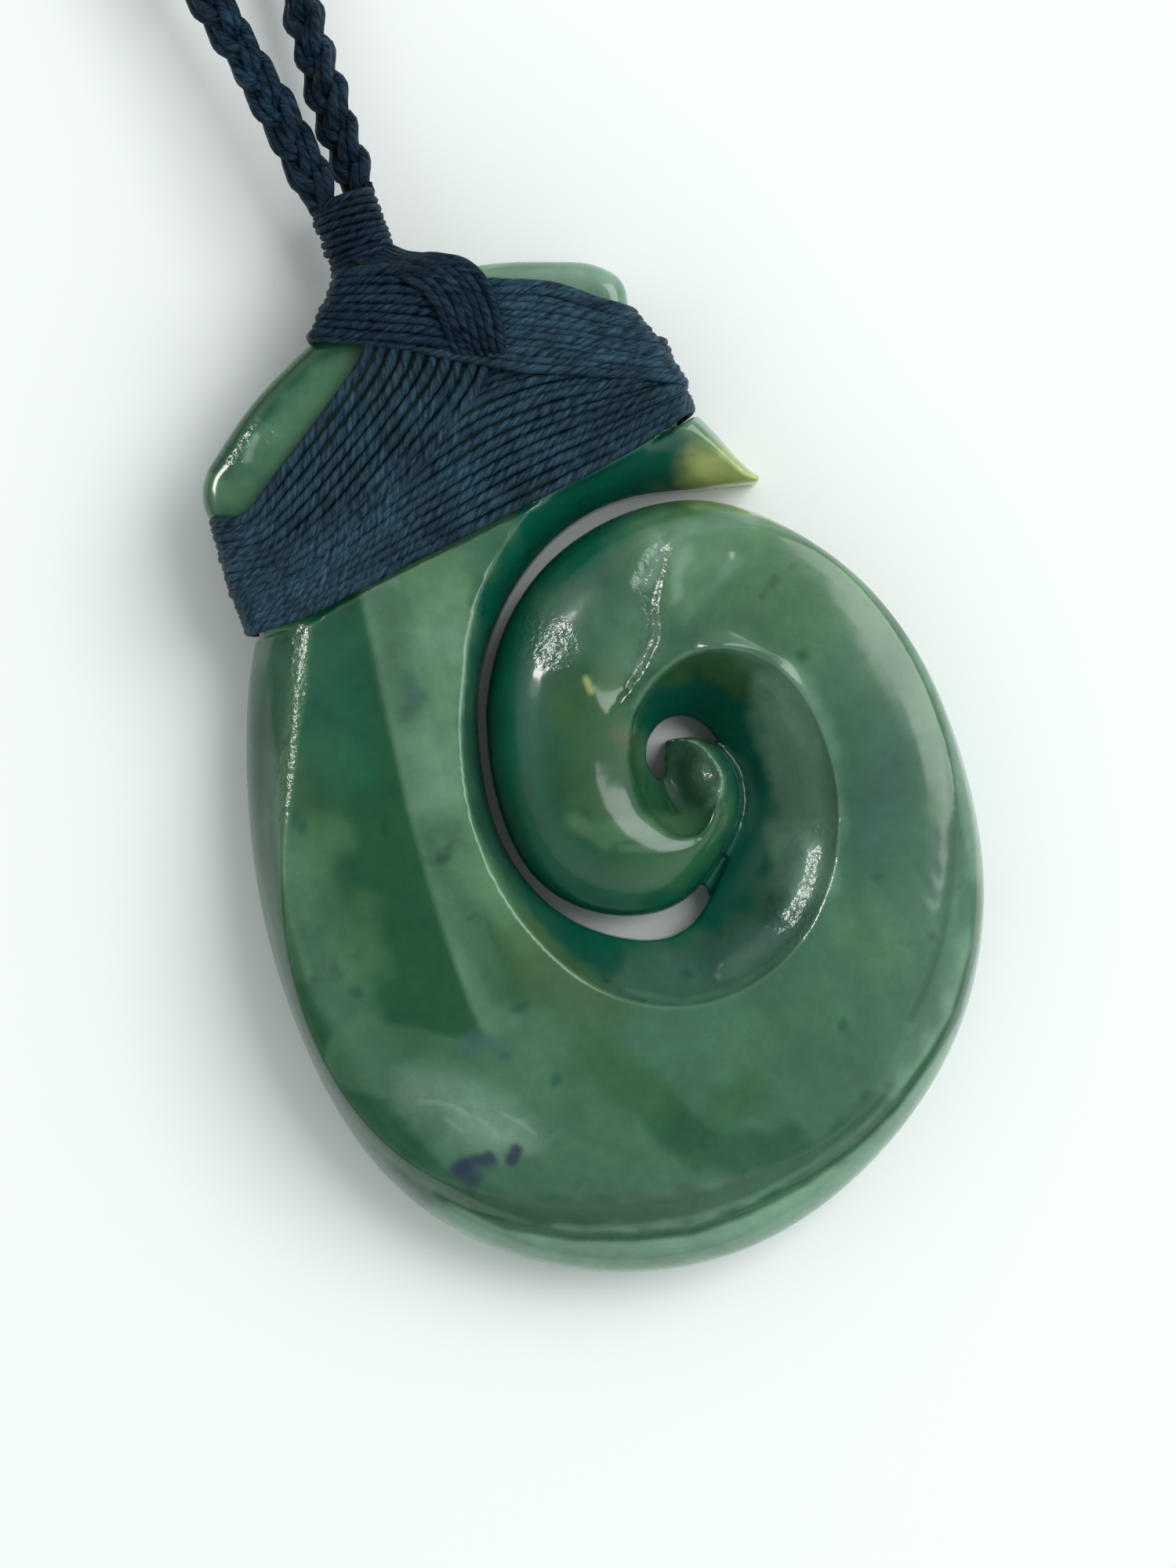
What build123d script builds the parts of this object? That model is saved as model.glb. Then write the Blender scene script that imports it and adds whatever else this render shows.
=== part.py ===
from build123d import *
import os
from collections import namedtuple
from math import cos, pi, radians, sin, tan

# A carved koru pendant of polished nephrite, bound with waxed thread to a braided neck loop.
# Millimetres. The pendant lies on its back: z = 0 is the back of the stone, +Z is its carved face,
# and +Y runs from the stone to the neck loop. x = y = 0 is solid stone under the coil.

# Stone. The radius is from the eye of the spiral to its widest place, and the heights of the carving
# are shares of the thickness
spiral_radius = 35.0
stone_thickness = 10.0
back_tuck = 1.4
groove_floor_height = 2.6
groove_floor_reach = 1.0

# Head of the stone, thinned back and front so that the thread lies in a carved seat
seat_back_depth = 1.4
seat_front_depth = 2.0
head_edge_round = 1.3
seat_margin = 0.2

# Thread
thread_diameter = 0.75
thread_clearance = 0.15
knot_height = 1.6
knot_back_drop = 2.5
knot_edge_round = 0.7

# Neck loop
whipping_diameter = 5.0
whipping_length = 5.7
whipping_edge_round = 0.4
braid_diameter = 3.2
braid_clearance = 0.3
closure_clearance = 0.3
braid_exit_apart = 2.6
braid_exit_stagger = 2.4
floor_clearance = 0.05
closure_diameter = 4.6
closure_length = 16.0

# Shares and sections of the stone

# Share of the face height at which the side of the stone is widest
silhouette_share = 0.46
# Share of a narrow section that its back is tucked in by, where that is less than back_tuck
narrow_tuck_share = 0.2
# The spiral's turns are counted from across the photographed view, which is this far from +X
view_roll = 20.0
# Depth below the back that a blank reaches before it is trimmed flat
trim_allowance = 1.0
# Eye of the spiral, across and up
eye_place = (0.139, 0.134)

# One row for each section of the spiral, from the tip of the beak, round the stem and the wheel, to the
# tip of the curl. turn is in degrees. outer, side, face, rim and inner are distances from the eye, as
# shares of spiral_radius, and the four heights are shares of stone_thickness. round is the bow of the
# top, as a share of its width, and dip the hollow from the rim down to the wall, as a share of
# stone_thickness.
Section = namedtuple("Section", "turn outer side face rim inner side_z face_z rim_z wall_z round dip")
spiral_sections = [
    Section(69.5, 0.577, 0.574, 0.571, 0.568, 0.563, 0.58, 0.64, 0.66, 0.38, 0.02, -0.01),
    Section(76.0, 0.606, 0.600, 0.593, 0.582, 0.537, 0.62, 0.72, 0.74, 0.36, 0.02, -0.04),
    Section(84.0, 0.671, 0.659, 0.646, 0.620, 0.517, 0.66, 0.78, 0.80, 0.34, 0.02, -0.06),
    Section(94.0, 0.724, 0.712, 0.697, 0.611, 0.505, 0.68, 0.79, 0.81, 0.34, 0.02, -0.06),
    Section(108.0, 0.754, 0.740, 0.725, 0.566, 0.480, 0.69, 0.79, 0.82, 0.36, 0.02, -0.04),
    Section(124.0, 0.784, 0.770, 0.752, 0.502, 0.440, 0.69, 0.80, 0.84, 0.38, 0.02, -0.03),
    Section(142.0, 0.799, 0.780, 0.745, 0.440, 0.397, 0.68, 0.80, 0.88, 0.40, 0.02, -0.02),
    Section(160.0, 0.805, 0.775, 0.710, 0.388, 0.364, 0.67, 0.83, 0.91, 0.42, 0.03, -0.01),
    Section(180.0, 0.789, 0.754, 0.698, 0.368, 0.336, 0.66, 0.85, 0.92, 0.42, 0.03, 0.01),
    Section(200.0, 0.811, 0.790, 0.759, 0.370, 0.333, 0.70, 0.86, 0.92, 0.42, 0.03, 0.01),
    Section(220.0, 0.878, 0.866, 0.849, 0.388, 0.344, 0.74, 0.86, 0.92, 0.42, 0.03, 0.01),
    Section(240.0, 0.971, 0.932, 0.905, 0.421, 0.354, 0.74, 0.87, 0.92, 0.42, 0.03, 0.02),
    Section(260.0, 1.000, 0.923, 0.863, 0.462, 0.356, 0.72, 0.87, 0.92, 0.40, 0.03, 0.04),
    Section(280.0, 0.967, 0.890, 0.816, 0.481, 0.338, 0.72, 0.87, 0.93, 0.36, 0.03, 0.06),
    Section(300.0, 0.876, 0.827, 0.783, 0.462, 0.259, 0.73, 0.87, 0.94, 0.32, 0.03, 0.08),
    Section(320.0, 0.777, 0.750, 0.671, 0.419, 0.211, 0.74, 0.87, 0.95, 0.30, 0.03, 0.10),
    Section(340.0, 0.673, 0.652, 0.602, 0.370, 0.181, 0.74, 0.88, 0.96, 0.28, 0.03, 0.10),
    Section(360.0, 0.590, 0.579, 0.560, 0.332, 0.146, 0.76, 0.88, 0.97, 0.28, 0.03, 0.09),
    Section(380.0, 0.546, 0.540, 0.525, 0.306, 0.122, 0.78, 0.88, 0.97, 0.28, 0.03, 0.07),
    Section(400.0, 0.522, 0.517, 0.507, 0.282, 0.109, 0.80, 0.88, 0.96, 0.28, 0.03, 0.05),
    Section(420.0, 0.509, 0.503, 0.490, 0.240, 0.091, 0.79, 0.88, 0.95, 0.30, 0.03, 0.04),
    Section(440.0, 0.502, 0.486, 0.434, 0.178, 0.068, 0.76, 0.90, 0.93, 0.34, 0.04, 0.03),
    Section(460.0, 0.467, 0.440, 0.370, 0.121, 0.045, 0.74, 0.91, 0.90, 0.40, 0.06, 0.03),
    Section(480.0, 0.425, 0.395, 0.309, 0.085, 0.032, 0.72, 0.91, 0.86, 0.44, 0.08, 0.03),
    Section(505.0, 0.371, 0.341, 0.249, 0.060, 0.021, 0.71, 0.90, 0.82, 0.46, 0.09, 0.02),
    Section(530.0, 0.332, 0.302, 0.211, 0.051, 0.019, 0.70, 0.88, 0.79, 0.46, 0.09, 0.02),
    Section(545.0, 0.322, 0.292, 0.204, 0.051, 0.019, 0.695, 0.87, 0.78, 0.46, 0.09, 0.02),
    Section(560.0, 0.321, 0.291, 0.199, 0.052, 0.019, 0.69, 0.86, 0.77, 0.46, 0.09, 0.02),
    Section(590.0, 0.330, 0.299, 0.196, 0.063, 0.023, 0.67, 0.83, 0.74, 0.44, 0.09, 0.03),
    Section(620.0, 0.314, 0.284, 0.190, 0.106, 0.032, 0.65, 0.80, 0.73, 0.40, 0.08, 0.05),
    Section(640.0, 0.286, 0.259, 0.186, 0.148, 0.045, 0.62, 0.76, 0.73, 0.36, 0.07, 0.07),
    Section(660.0, 0.238, 0.220, 0.192, 0.172, 0.038, 0.58, 0.70, 0.72, 0.34, 0.05, 0.08),
    Section(680.0, 0.206, 0.192, 0.166, 0.151, 0.027, 0.57, 0.68, 0.71, 0.34, 0.04, 0.07),
    Section(700.0, 0.176, 0.164, 0.147, 0.136, 0.020, 0.56, 0.67, 0.70, 0.34, 0.04, 0.06),
    Section(720.0, 0.140, 0.131, 0.116, 0.105, 0.018, 0.56, 0.66, 0.69, 0.36, 0.04, 0.04),
    Section(740.0, 0.100, 0.094, 0.085, 0.078, 0.020, 0.55, 0.65, 0.68, 0.40, 0.04, 0.03),
    Section(758.0, 0.060, 0.057, 0.0535, 0.050, 0.0225, 0.55, 0.63, 0.66, 0.44, 0.03, 0.02),
    Section(776.0, 0.041, 0.0385, 0.036, 0.034, 0.030, 0.54, 0.60, 0.62, 0.48, 0.02, 0.01),
]

# The groove between the curl and the wheel isn't cut through: turn, and distance from the eye
GroovePoint = namedtuple("GroovePoint", "turn distance")
groove_points = [
    GroovePoint(291, 0.262),
    GroovePoint(300, 0.249),
    GroovePoint(315, 0.217),
    GroovePoint(332, 0.187),
    GroovePoint(350, 0.158),
    GroovePoint(372, 0.124),
]

# Outline of the head, across and up, and the arc at each corner, as shares of spiral_radius
HeadPoint = namedtuple("HeadPoint", "across up corner")
head_outline = [
    HeadPoint(-0.504, 0.540, 0.04),
    HeadPoint(-0.483, 0.730, 0.40),
    HeadPoint(-0.466, 0.804, 0.05),
    HeadPoint(-0.516, 0.855, 0.05),
    HeadPoint(-0.503, 0.927, 0.10),
    HeadPoint(-0.357, 1.038, 0.60),
    HeadPoint(-0.206, 1.107, 0.60),
    HeadPoint(-0.026, 1.156, 0.35),
    HeadPoint(0.165, 1.134, 0.60),
    HeadPoint(0.349, 1.066, 0.15),
    HeadPoint(0.397, 1.012, 0.06),
    HeadPoint(0.380, 0.950, 0.10),
    HeadPoint(0.416, 0.779, 0.08),
    HeadPoint(0.428, 0.742, 0.04),
    HeadPoint(0.319, 0.683, 0.10),
    HeadPoint(0.093, 0.653, 0.10),
    HeadPoint(-0.070, 0.600, 0.10),
    HeadPoint(-0.278, 0.470, 0.10),
]

# Edges of the thread on the head, across and up as shares of spiral_radius
lashing_lower_edge = [
    (-0.600, 0.613),
    (-0.523, 0.613),
    (-0.406, 0.605),
    (-0.319, 0.622),
    (-0.152, 0.641),
    (0.083, 0.668),
    (0.318, 0.698),
    (0.441, 0.730),
    (0.520, 0.740),
]
lashing_upper_edge = [
    (0.520, 0.792),
    (0.441, 0.791),
    (0.196, 0.892),
    (0.060, 0.957),
    (-0.121, 1.043),
    (-0.180, 1.009),
    (-0.334, 0.905),
    (-0.444, 0.828),
    (-0.600, 0.812),
]
seat_far_edge = [
    (0.520, 1.400),
    (-0.600, 1.400),
]
band_lower_edge = [
    (-0.205, 1.080),
    (-0.121, 1.047),
    (0.060, 0.961),
    (0.196, 0.896),
    (0.441, 0.795),
    (0.520, 0.796),
]
band_upper_edge = [
    (0.520, 0.960),
    (0.384, 0.957),
    (0.324, 1.006),
    (0.239, 1.067),
    (0.150, 1.095),
    (0.105, 1.300),
    (-0.205, 1.300),
]
knot_outline = [
    (-0.222, 1.100),
    (-0.155, 1.150),
    (-0.135, 1.196),
    (0.000, 1.192),
    (0.084, 1.158),
    (0.136, 1.118),
    (0.152, 1.050),
    (0.134, 0.965),
    (0.020, 0.990),
    (-0.120, 1.060),
]
whipping_across = -0.063

# Routes of the two braids from the neck whipping round to the closure. across and onward are
# millimetres from where the braid leaves the whipping, and lift is how far it is still held up: 1 at
# the whipping and 0 on the surface.
RoutePoint = namedtuple("RoutePoint", "across onward lift")
left_route = [
    RoutePoint(0.0, 0.0, 1.0),
    RoutePoint(-0.5, 4.4, 0.96),
    RoutePoint(-1.2, 9.4, 0.88),
    RoutePoint(-2.8, 16.6, 0.74),
    RoutePoint(-6.5, 27.6, 0.52),
    RoutePoint(-13.6, 42.6, 0.26),
    RoutePoint(-26.6, 61.6, 0.07),
    RoutePoint(-45.1, 84.1, 0.0),
    RoutePoint(-63.6, 112.1, 0.0),
    RoutePoint(-73.1, 146.1, 0.0),
    RoutePoint(-69.6, 181.1, 0.0),
    RoutePoint(-52.6, 208.1, 0.0),
    RoutePoint(-28.6, 222.8, 0.0),
    RoutePoint(-7.0, 224.7, 0.0),
]
right_route = [
    RoutePoint(0.0, 0.0, 1.0),
    RoutePoint(0.1, 4.7, 0.96),
    RoutePoint(0.4, 9.9, 0.88),
    RoutePoint(1.1, 17.6, 0.74),
    RoutePoint(4.0, 29.1, 0.50),
    RoutePoint(10.8, 44.6, 0.22),
    RoutePoint(23.5, 63.6, 0.05),
    RoutePoint(42.0, 86.1, 0.0),
    RoutePoint(60.5, 114.1, 0.0),
    RoutePoint(70.5, 147.1, 0.0),
    RoutePoint(67.5, 181.6, 0.0),
    RoutePoint(50.5, 208.1, 0.0),
    RoutePoint(27.5, 222.6, 0.0),
]
bend_share = 0.45

head_back_height = seat_back_depth
head_front_height = stone_thickness - seat_front_depth
whipping_height = (head_back_height + head_front_height) / 2
lying_height = braid_diameter / 2 + floor_clearance


def scaled(outline):
    """Across and up in millimetres for an outline given in shares."""
    points = []
    for across, up in outline:
        points.append((across * spiral_radius, up * spiral_radius))
    return points


def spiral_direction(turn):
    """Level direction from the eye at a turn of the spiral."""
    angle = radians(turn - view_roll)
    return Vector(cos(angle), sin(angle), 0)


def section_plane(turn):
    """Upright plane through the eye. Its x runs outwards and its y runs up."""
    outwards = spiral_direction(turn)
    return Plane(origin=eye_point(turn, 0), x_dir=outwards, z_dir=outwards.cross(Vector(0, 0, 1)))


def eye_point(turn, distance):
    """Point of the back plane at a turn and distance from the eye."""
    eye = Vector(eye_place[0] * spiral_radius, eye_place[1] * spiral_radius, 0)
    return eye + spiral_direction(turn) * distance


def bowed(start, end, bow):
    """Arc from start to end, whose middle stands off by bow to the left of the way along."""
    along = (end - start).normalized()
    middle = (start + end) / 2 + Vector(-along.Y, along.X) * bow
    ThreePointArc(start, middle, end)


def section_profile(row):
    """Closed outline of one section of the spiral, in the current sketch line."""
    outer = Vector(row.outer * spiral_radius, silhouette_share * row.face_z * stone_thickness)
    side = Vector(row.side * spiral_radius, row.side_z * stone_thickness)
    face = Vector(row.face * spiral_radius, row.face_z * stone_thickness)
    rim = Vector(row.rim * spiral_radius, row.rim_z * stone_thickness)
    wall = Vector(row.inner * spiral_radius, row.wall_z * stone_thickness)
    tuck = min(back_tuck, narrow_tuck_share * (outer.X - wall.X))
    heel = Vector(outer.X - tuck, -trim_allowance)
    foot = Vector(wall.X, -trim_allowance)
    Line(foot, heel)
    TangentArc(outer, heel, tangent=(0, -1))
    TangentArc(outer, side, tangent=(0, 1))
    bowed(side, face, -row.round * (face - side).length)
    bowed(face, rim, -row.round * (rim - face).length)
    bowed(rim, wall, row.dip * stone_thickness)
    Line(wall, foot)


def outline_prism(points, low, high):
    """Upright prism of a closed outline between two heights."""
    with BuildPart() as prism:
        with BuildSketch(Plane.XY.offset(low)):
            with BuildLine():
                Polyline(*points, close=True)
            make_face()
        extrude(amount=high - low)
    return prism.part


def grown_head_outline(grow):
    """Corners of the head outline with its sides moved outwards by grow, and the arc at each."""
    places = [Vector(point.across, point.up) * spiral_radius for point in head_outline]
    corners = []
    radii = []
    for index, point in enumerate(head_outline):
        following = (index + 1) % len(places)
        into = (places[index] - places[index - 1]).normalized()
        out = (places[following] - places[index]).normalized()
        into_side = Vector(-into.Y, into.X)
        out_side = Vector(-out.Y, out.X)
        corners.append(places[index] + (into_side + out_side) * (grow / (1 + into_side.dot(out_side))))
        hollow = into.cross(out).Z > 0
        radii.append(point.corner * spiral_radius + (-grow if hollow else grow))
    return corners, radii


def head_form(grow):
    """The head of the stone with every face moved outwards by grow."""
    corners, radii = grown_head_outline(grow)
    with BuildPart() as form:
        with BuildSketch(Plane.XY.offset(head_back_height - grow)):
            with BuildLine():
                FilletPolyline(*corners, radius=radii, close=True)
            make_face()
        extrude(amount=head_front_height - head_back_height + 2 * grow)
        rims = form.faces().filter_by(Axis.Z).edges()
        fillet(rims, radius=head_edge_round + grow)
    return form.part


def wrapped_band(outline, under):
    """Layer of thread round the head, under millimetres off the stone, inside an outline."""
    low = head_back_height - under - 2 * thread_diameter
    high = head_front_height + under + 2 * thread_diameter
    with BuildPart() as band:
        add(head_form(under + thread_diameter))
        add(head_form(under), mode=Mode.SUBTRACT)
        add(outline_prism(scaled(outline), low, high), mode=Mode.INTERSECT)
    return band.part


def route_points(exit_point, route):
    """Points of a braid's route, from where it leaves the neck whipping."""
    points = []
    for row in route:
        height = lying_height + row.lift * (exit_point.Z - lying_height)
        points.append(Vector(exit_point.X + row.across, exit_point.Y + row.onward, height))
    return points


def bend_radii(name, points):
    """Largest arc at each point of a braid's route that leaves its two runs room."""
    radii = []
    for before, corner, after in zip(points, points[1:], points[2:]):
        into = corner - before
        out = after - corner
        half_turn = radians(into.get_angle(out)) / 2
        radii.append(bend_share * min(into.length, out.length) / tan(half_turn))
    print(name, "bend radii", [round(radius, 1) for radius in radii])
    return radii


os.makedirs("parts", exist_ok=True)

# Head, and the waste round it that is cut away where the thread is seated
seat_near_edge = [(across, up - seat_margin) for across, up in scaled(lashing_lower_edge)]
seat_space = outline_prism(seat_near_edge + scaled(seat_far_edge), -2 * trim_allowance, 2 * stone_thickness)
with BuildPart() as seat_waste:
    add(seat_space)
    add(head_form(0), mode=Mode.SUBTRACT)

with BuildPart() as head:
    add(head_form(0))
    add(seat_space, mode=Mode.INTERSECT)

# Stone
with BuildPart() as koru_stone:
    for row in spiral_sections:
        with BuildSketch(section_plane(row.turn)):
            with BuildLine():
                section_profile(row)
            make_face()
    loft()
    groove_outside = [eye_point(p.turn, p.distance * spiral_radius + groove_floor_reach) for p in groove_points]
    groove_inside = [eye_point(p.turn, p.distance * spiral_radius - groove_floor_reach) for p in groove_points]
    with BuildSketch(Plane.XY.offset(-trim_allowance)):
        with BuildLine():
            Spline(*groove_outside)
            Spline(*groove_inside)
            Line(groove_outside[0], groove_inside[0])
            Line(groove_outside[-1], groove_inside[-1])
        make_face()
    extrude(amount=groove_floor_height + trim_allowance)
    add(seat_waste.part, mode=Mode.SUBTRACT)
    split(bisect_by=Plane.XY, keep=Keep.TOP)
    add(head.part)
koru_stone.part.label = "koru_stone"
export_step(koru_stone.part, "parts/koru_stone.step")

# Thread on the head
with BuildPart() as lower_lashing:
    add(wrapped_band(lashing_lower_edge + lashing_upper_edge, thread_clearance))
lower_lashing.part.label = "lower_lashing"
export_step(lower_lashing.part, "parts/lower_lashing.step")

with BuildPart() as upper_lashing:
    add(wrapped_band(band_lower_edge + band_upper_edge, thread_clearance))
upper_lashing.part.label = "upper_lashing"
export_step(upper_lashing.part, "parts/upper_lashing.step")

knot_seat = 2 * thread_clearance + thread_diameter
knot_top = head_front_height + knot_seat + knot_height
knot_back = whipping_height - knot_back_drop
with BuildPart() as knot_turn:
    add(outline_prism(scaled(knot_outline), knot_back, knot_top))
    fillet(knot_turn.faces().sort_by(Axis.Z)[-1].edges(), radius=knot_edge_round)
    add(head_form(knot_seat), mode=Mode.SUBTRACT)
knot_turn.part.label = "knot_turn"
export_step(knot_turn.part, "parts/knot_turn.step")

# Neck
knot_end = max(up for across, up in knot_outline) * spiral_radius
whipping_place = whipping_across * spiral_radius
whipping_start = knot_end + thread_clearance
with BuildPart() as neck_whipping:
    with BuildSketch(Plane(origin=(whipping_place, whipping_start, whipping_height), z_dir=(0, 1, 0))):
        Circle(whipping_diameter / 2)
    extrude(amount=whipping_length)
    fillet(neck_whipping.edges().filter_by(GeomType.CIRCLE), radius=whipping_edge_round)
neck_whipping.part.label = "neck_whipping"
export_step(neck_whipping.part, "parts/neck_whipping.step")

# Braids
exit_up = whipping_start + whipping_length + braid_clearance
left_exit = Vector(whipping_place - braid_exit_apart / 2, exit_up, whipping_height + braid_exit_stagger / 2)
right_exit = Vector(whipping_place + braid_exit_apart / 2, exit_up, whipping_height - braid_exit_stagger / 2)
left_points = route_points(left_exit, left_route)
closure_start = left_points[-1] + Vector(closure_clearance, 0, 0)
closure_end = closure_start + Vector(closure_length, 0, 0)
right_points = route_points(right_exit, right_route) + [closure_end + Vector(closure_clearance, 0, 0)]
for name, points in (("left_braid", left_points), ("right_braid", right_points)):
    with BuildPart() as braid:
        with BuildLine() as path:
            FilletPolyline(*points, radius=bend_radii(name, points))
        with BuildSketch(Plane(origin=path.line @ 0, z_dir=path.line % 0)):
            Circle(braid_diameter / 2)
        sweep()
    braid.part.label = name
    export_step(braid.part, f"parts/{name}.step")
    length = sum(edge.length for edge in path.edges())
    volume_share = braid.part.volume / (length * pi * braid_diameter**2 / 4)
    print(name, "length", round(length, 1), "volume over section times length", round(volume_share, 4))

# Closure
with BuildPart() as closure_whipping:
    closure_height = closure_diameter / 2 + floor_clearance
    with BuildSketch(Plane(origin=(closure_start.X, closure_start.Y, closure_height), z_dir=(1, 0, 0))):
        Circle(closure_diameter / 2)
    extrude(amount=closure_length)
    fillet(closure_whipping.edges().filter_by(GeomType.CIRCLE), radius=whipping_edge_round)
closure_whipping.part.label = "closure_whipping"
export_step(closure_whipping.part, "parts/closure_whipping.step")
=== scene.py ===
import math
from collections import namedtuple

import bmesh
import bpy
import numpy as np
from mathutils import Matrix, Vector


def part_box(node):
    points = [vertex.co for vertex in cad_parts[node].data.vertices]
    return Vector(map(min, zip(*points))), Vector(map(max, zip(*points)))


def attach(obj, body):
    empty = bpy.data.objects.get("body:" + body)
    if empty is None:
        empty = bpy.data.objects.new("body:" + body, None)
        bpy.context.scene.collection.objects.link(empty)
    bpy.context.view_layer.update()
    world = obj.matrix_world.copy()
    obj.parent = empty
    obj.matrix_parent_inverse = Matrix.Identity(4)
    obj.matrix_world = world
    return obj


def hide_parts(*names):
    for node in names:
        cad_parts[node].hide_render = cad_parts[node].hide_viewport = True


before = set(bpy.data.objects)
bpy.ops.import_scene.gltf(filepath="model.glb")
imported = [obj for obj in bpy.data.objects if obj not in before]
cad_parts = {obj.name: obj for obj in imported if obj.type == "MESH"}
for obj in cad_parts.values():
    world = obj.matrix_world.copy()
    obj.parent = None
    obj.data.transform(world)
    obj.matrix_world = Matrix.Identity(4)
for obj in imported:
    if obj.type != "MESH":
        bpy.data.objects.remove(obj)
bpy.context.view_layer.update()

# The pendant lies on its back on a pale floor and is seen from straight above. Lengths are in metres.
# Places on the stone and sizes of patterns are in millimetres, and are turned into metres in use
MM = 0.001

# View. The picture's up is the pendant's +Y turned by the roll
view_roll = 20.0
view_centre = Vector((-0.044, 4.51)) * MM
view_height = 105.6 * MM
view_level = 5.0 * MM
camera_distance = 420.0 * MM
camera_near = 10 * MM
camera_far = 10.0
sensor_height = 24.0

# Room: its tints from straight below to straight above, and the side that it is brighter on
room_below = "#6f7775"
room_tints = ((0.25, "#b0b8b6"), (0.5, "#e3e6e5"), (0.75, "#c8d0ce"), (0.92, "#929d9b"))
room_above = "#616d6d"
room_bright_side = (0.9, -0.4, 0.0)
room_dim = 0.78
room_bright = 1.7
floor_half = 1.5
floor_middle = (0, 0.12, 0)

# Stone: size of its even mesh, share of the triangles kept where the face looks up less than a slope,
# and rounds of polish
merge_distance = 0.001 * MM
voxel = 0.2 * MM
kept_share = 0.44
painted_slope = 0.35
polish_factor = 0.5
polish_rounds = 4


def object_from(name, mesh):
    """A new object in the scene that holds a mesh."""
    thing = bpy.data.objects.new(name, mesh)
    bpy.context.scene.collection.objects.link(thing)
    return thing


def baked(thing):
    """Applies the modifiers of an object to its mesh."""
    bpy.context.view_layer.update()
    graph = bpy.context.evaluated_depsgraph_get()
    mesh = bpy.data.meshes.new_from_object(thing.evaluated_get(graph))
    thing.modifiers.clear()
    thing.data = mesh


def linear(code):
    """Linear colour of an sRGB hex code, with full cover."""
    parts = []
    for start in (1, 3, 5):
        share = int(code[start:start + 2], 16) / 255
        parts.append(share / 12.92 if share <= 0.04045 else ((share + 0.055) / 1.055) ** 2.4)
    return (*parts, 1.0)


def node(tree, kind, settings=None, **links):
    """Adds a node, sets its properties and the values of its sockets, by name or by number, and links
    what is given. A link comes from a socket or from the first output of a node, and a link named
    input_1 or input_2 goes to the socket of that number."""
    made = tree.nodes.new("ShaderNode" + kind)
    for name, value in (settings or {}).items():
        if isinstance(name, int) or name in made.inputs:
            made.inputs[name].default_value = value
        else:
            setattr(made, name, value)
    for name, source in links.items():
        goal = int(name[-1]) if name[-1].isdigit() else name.replace("_", " ")
        output = source.outputs[0] if isinstance(source, bpy.types.Node) else source
        tree.links.new(output, made.inputs[goal])
    return made


# Camera
camera = object_from("camera", bpy.data.cameras.new("camera"))
camera.data.sensor_fit = "VERTICAL"
camera.data.sensor_height = sensor_height
camera.data.lens = sensor_height * camera_distance / view_height
camera.data.clip_start = camera_near
camera.data.clip_end = camera_far
camera.location = (view_centre.x, view_centre.y, view_level + camera_distance)
camera.rotation_euler = (0, 0, -math.radians(view_roll))
bpy.context.scene.camera = camera
bpy.context.scene.view_settings.view_transform = "Standard"


# Light and floor
def soft_light(name, turn, height, distance, size, power, tint):
    """Square lamp that looks at the stone, at a turn across the picture and a height in degrees."""
    data = bpy.data.lights.new(name, "AREA")
    data.size = size
    data.energy = power
    data.color = linear(tint)[:3]
    lamp = object_from(name, data)
    level = math.radians(height)
    across = math.radians(turn - view_roll)
    away = Vector((math.cos(across) * math.cos(level), math.sin(across) * math.cos(level), math.sin(level)))
    lamp.location = Vector((0, 0, view_level)) + away * distance
    lamp.rotation_euler = away.to_track_quat("Z", "Y").to_euler()
    return lamp


soft_light("window", turn=28, height=50, distance=1.10, size=0.75, power=7.8, tint="#fdfeff")

# A lamp across the room that is too dim to light the floor, and shows only as glints in the polish
glint_lamp = soft_light(
    "ceiling_lamp", turn=160, height=46, distance=0.75, size=0.20, power=2.9, tint="#fffdf8",
)
glint_lamp.visible_diffuse = False

world = bpy.data.worlds.new("room")
bpy.context.scene.world = world
world.use_nodes = True
tree = world.node_tree
tree.nodes.clear()
direction = node(tree, "TexCoord").outputs["Generated"]
apart = node(tree, "SeparateXYZ", Vector=direction)
ramp = node(tree, "ValToRGB", Fac=apart.outputs["Z"])
ramp.color_ramp.elements[0].position = 0.0
ramp.color_ramp.elements[0].color = linear(room_below)
ramp.color_ramp.elements[1].position = 1.0
ramp.color_ramp.elements[1].color = linear(room_above)
for position, tint in room_tints:
    ramp.color_ramp.elements.new(position).color = linear(tint)
bright_side = node(tree, "VectorMath", {"operation": "DOT_PRODUCT", 1: room_bright_side}, Vector=direction)
strength = node(
    tree, "MapRange",
    {"From Min": -1.0, "From Max": 1.0, "To Min": room_dim, "To Max": room_bright},
    Value=bright_side.outputs["Value"],
)
background = node(tree, "Background", Color=ramp, Strength=strength)
node(tree, "OutputWorld", Surface=background)

bm = bmesh.new()
bmesh.ops.create_grid(bm, x_segments=1, y_segments=1, size=floor_half)
bmesh.ops.translate(bm, verts=bm.verts, vec=floor_middle)
floor_mesh = bpy.data.meshes.new("floor")
bm.to_mesh(floor_mesh)
bm.free()
floor = object_from("floor", floor_mesh)

# Painted paper: a pale, matt, slightly cool white
paper = bpy.data.materials.new("matt_white_paper")
paper.use_nodes = True
paper_shader = paper.node_tree.nodes["Principled BSDF"]
paper_shader.inputs["Base Color"].default_value = linear("#f3f5f4")
paper_shader.inputs["Roughness"].default_value = 0.85
floor.data.materials.append(paper)


# Stone: the cut form in an even fine mesh, worked over as on the bench and then painted.
# The bench reaches faces that look up at least this much, above the plain lower walls, fading in
face_slope = 0.05
face_slope_fade = 0.3
wall_height = 2.5
wall_height_fade = 1.5

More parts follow.
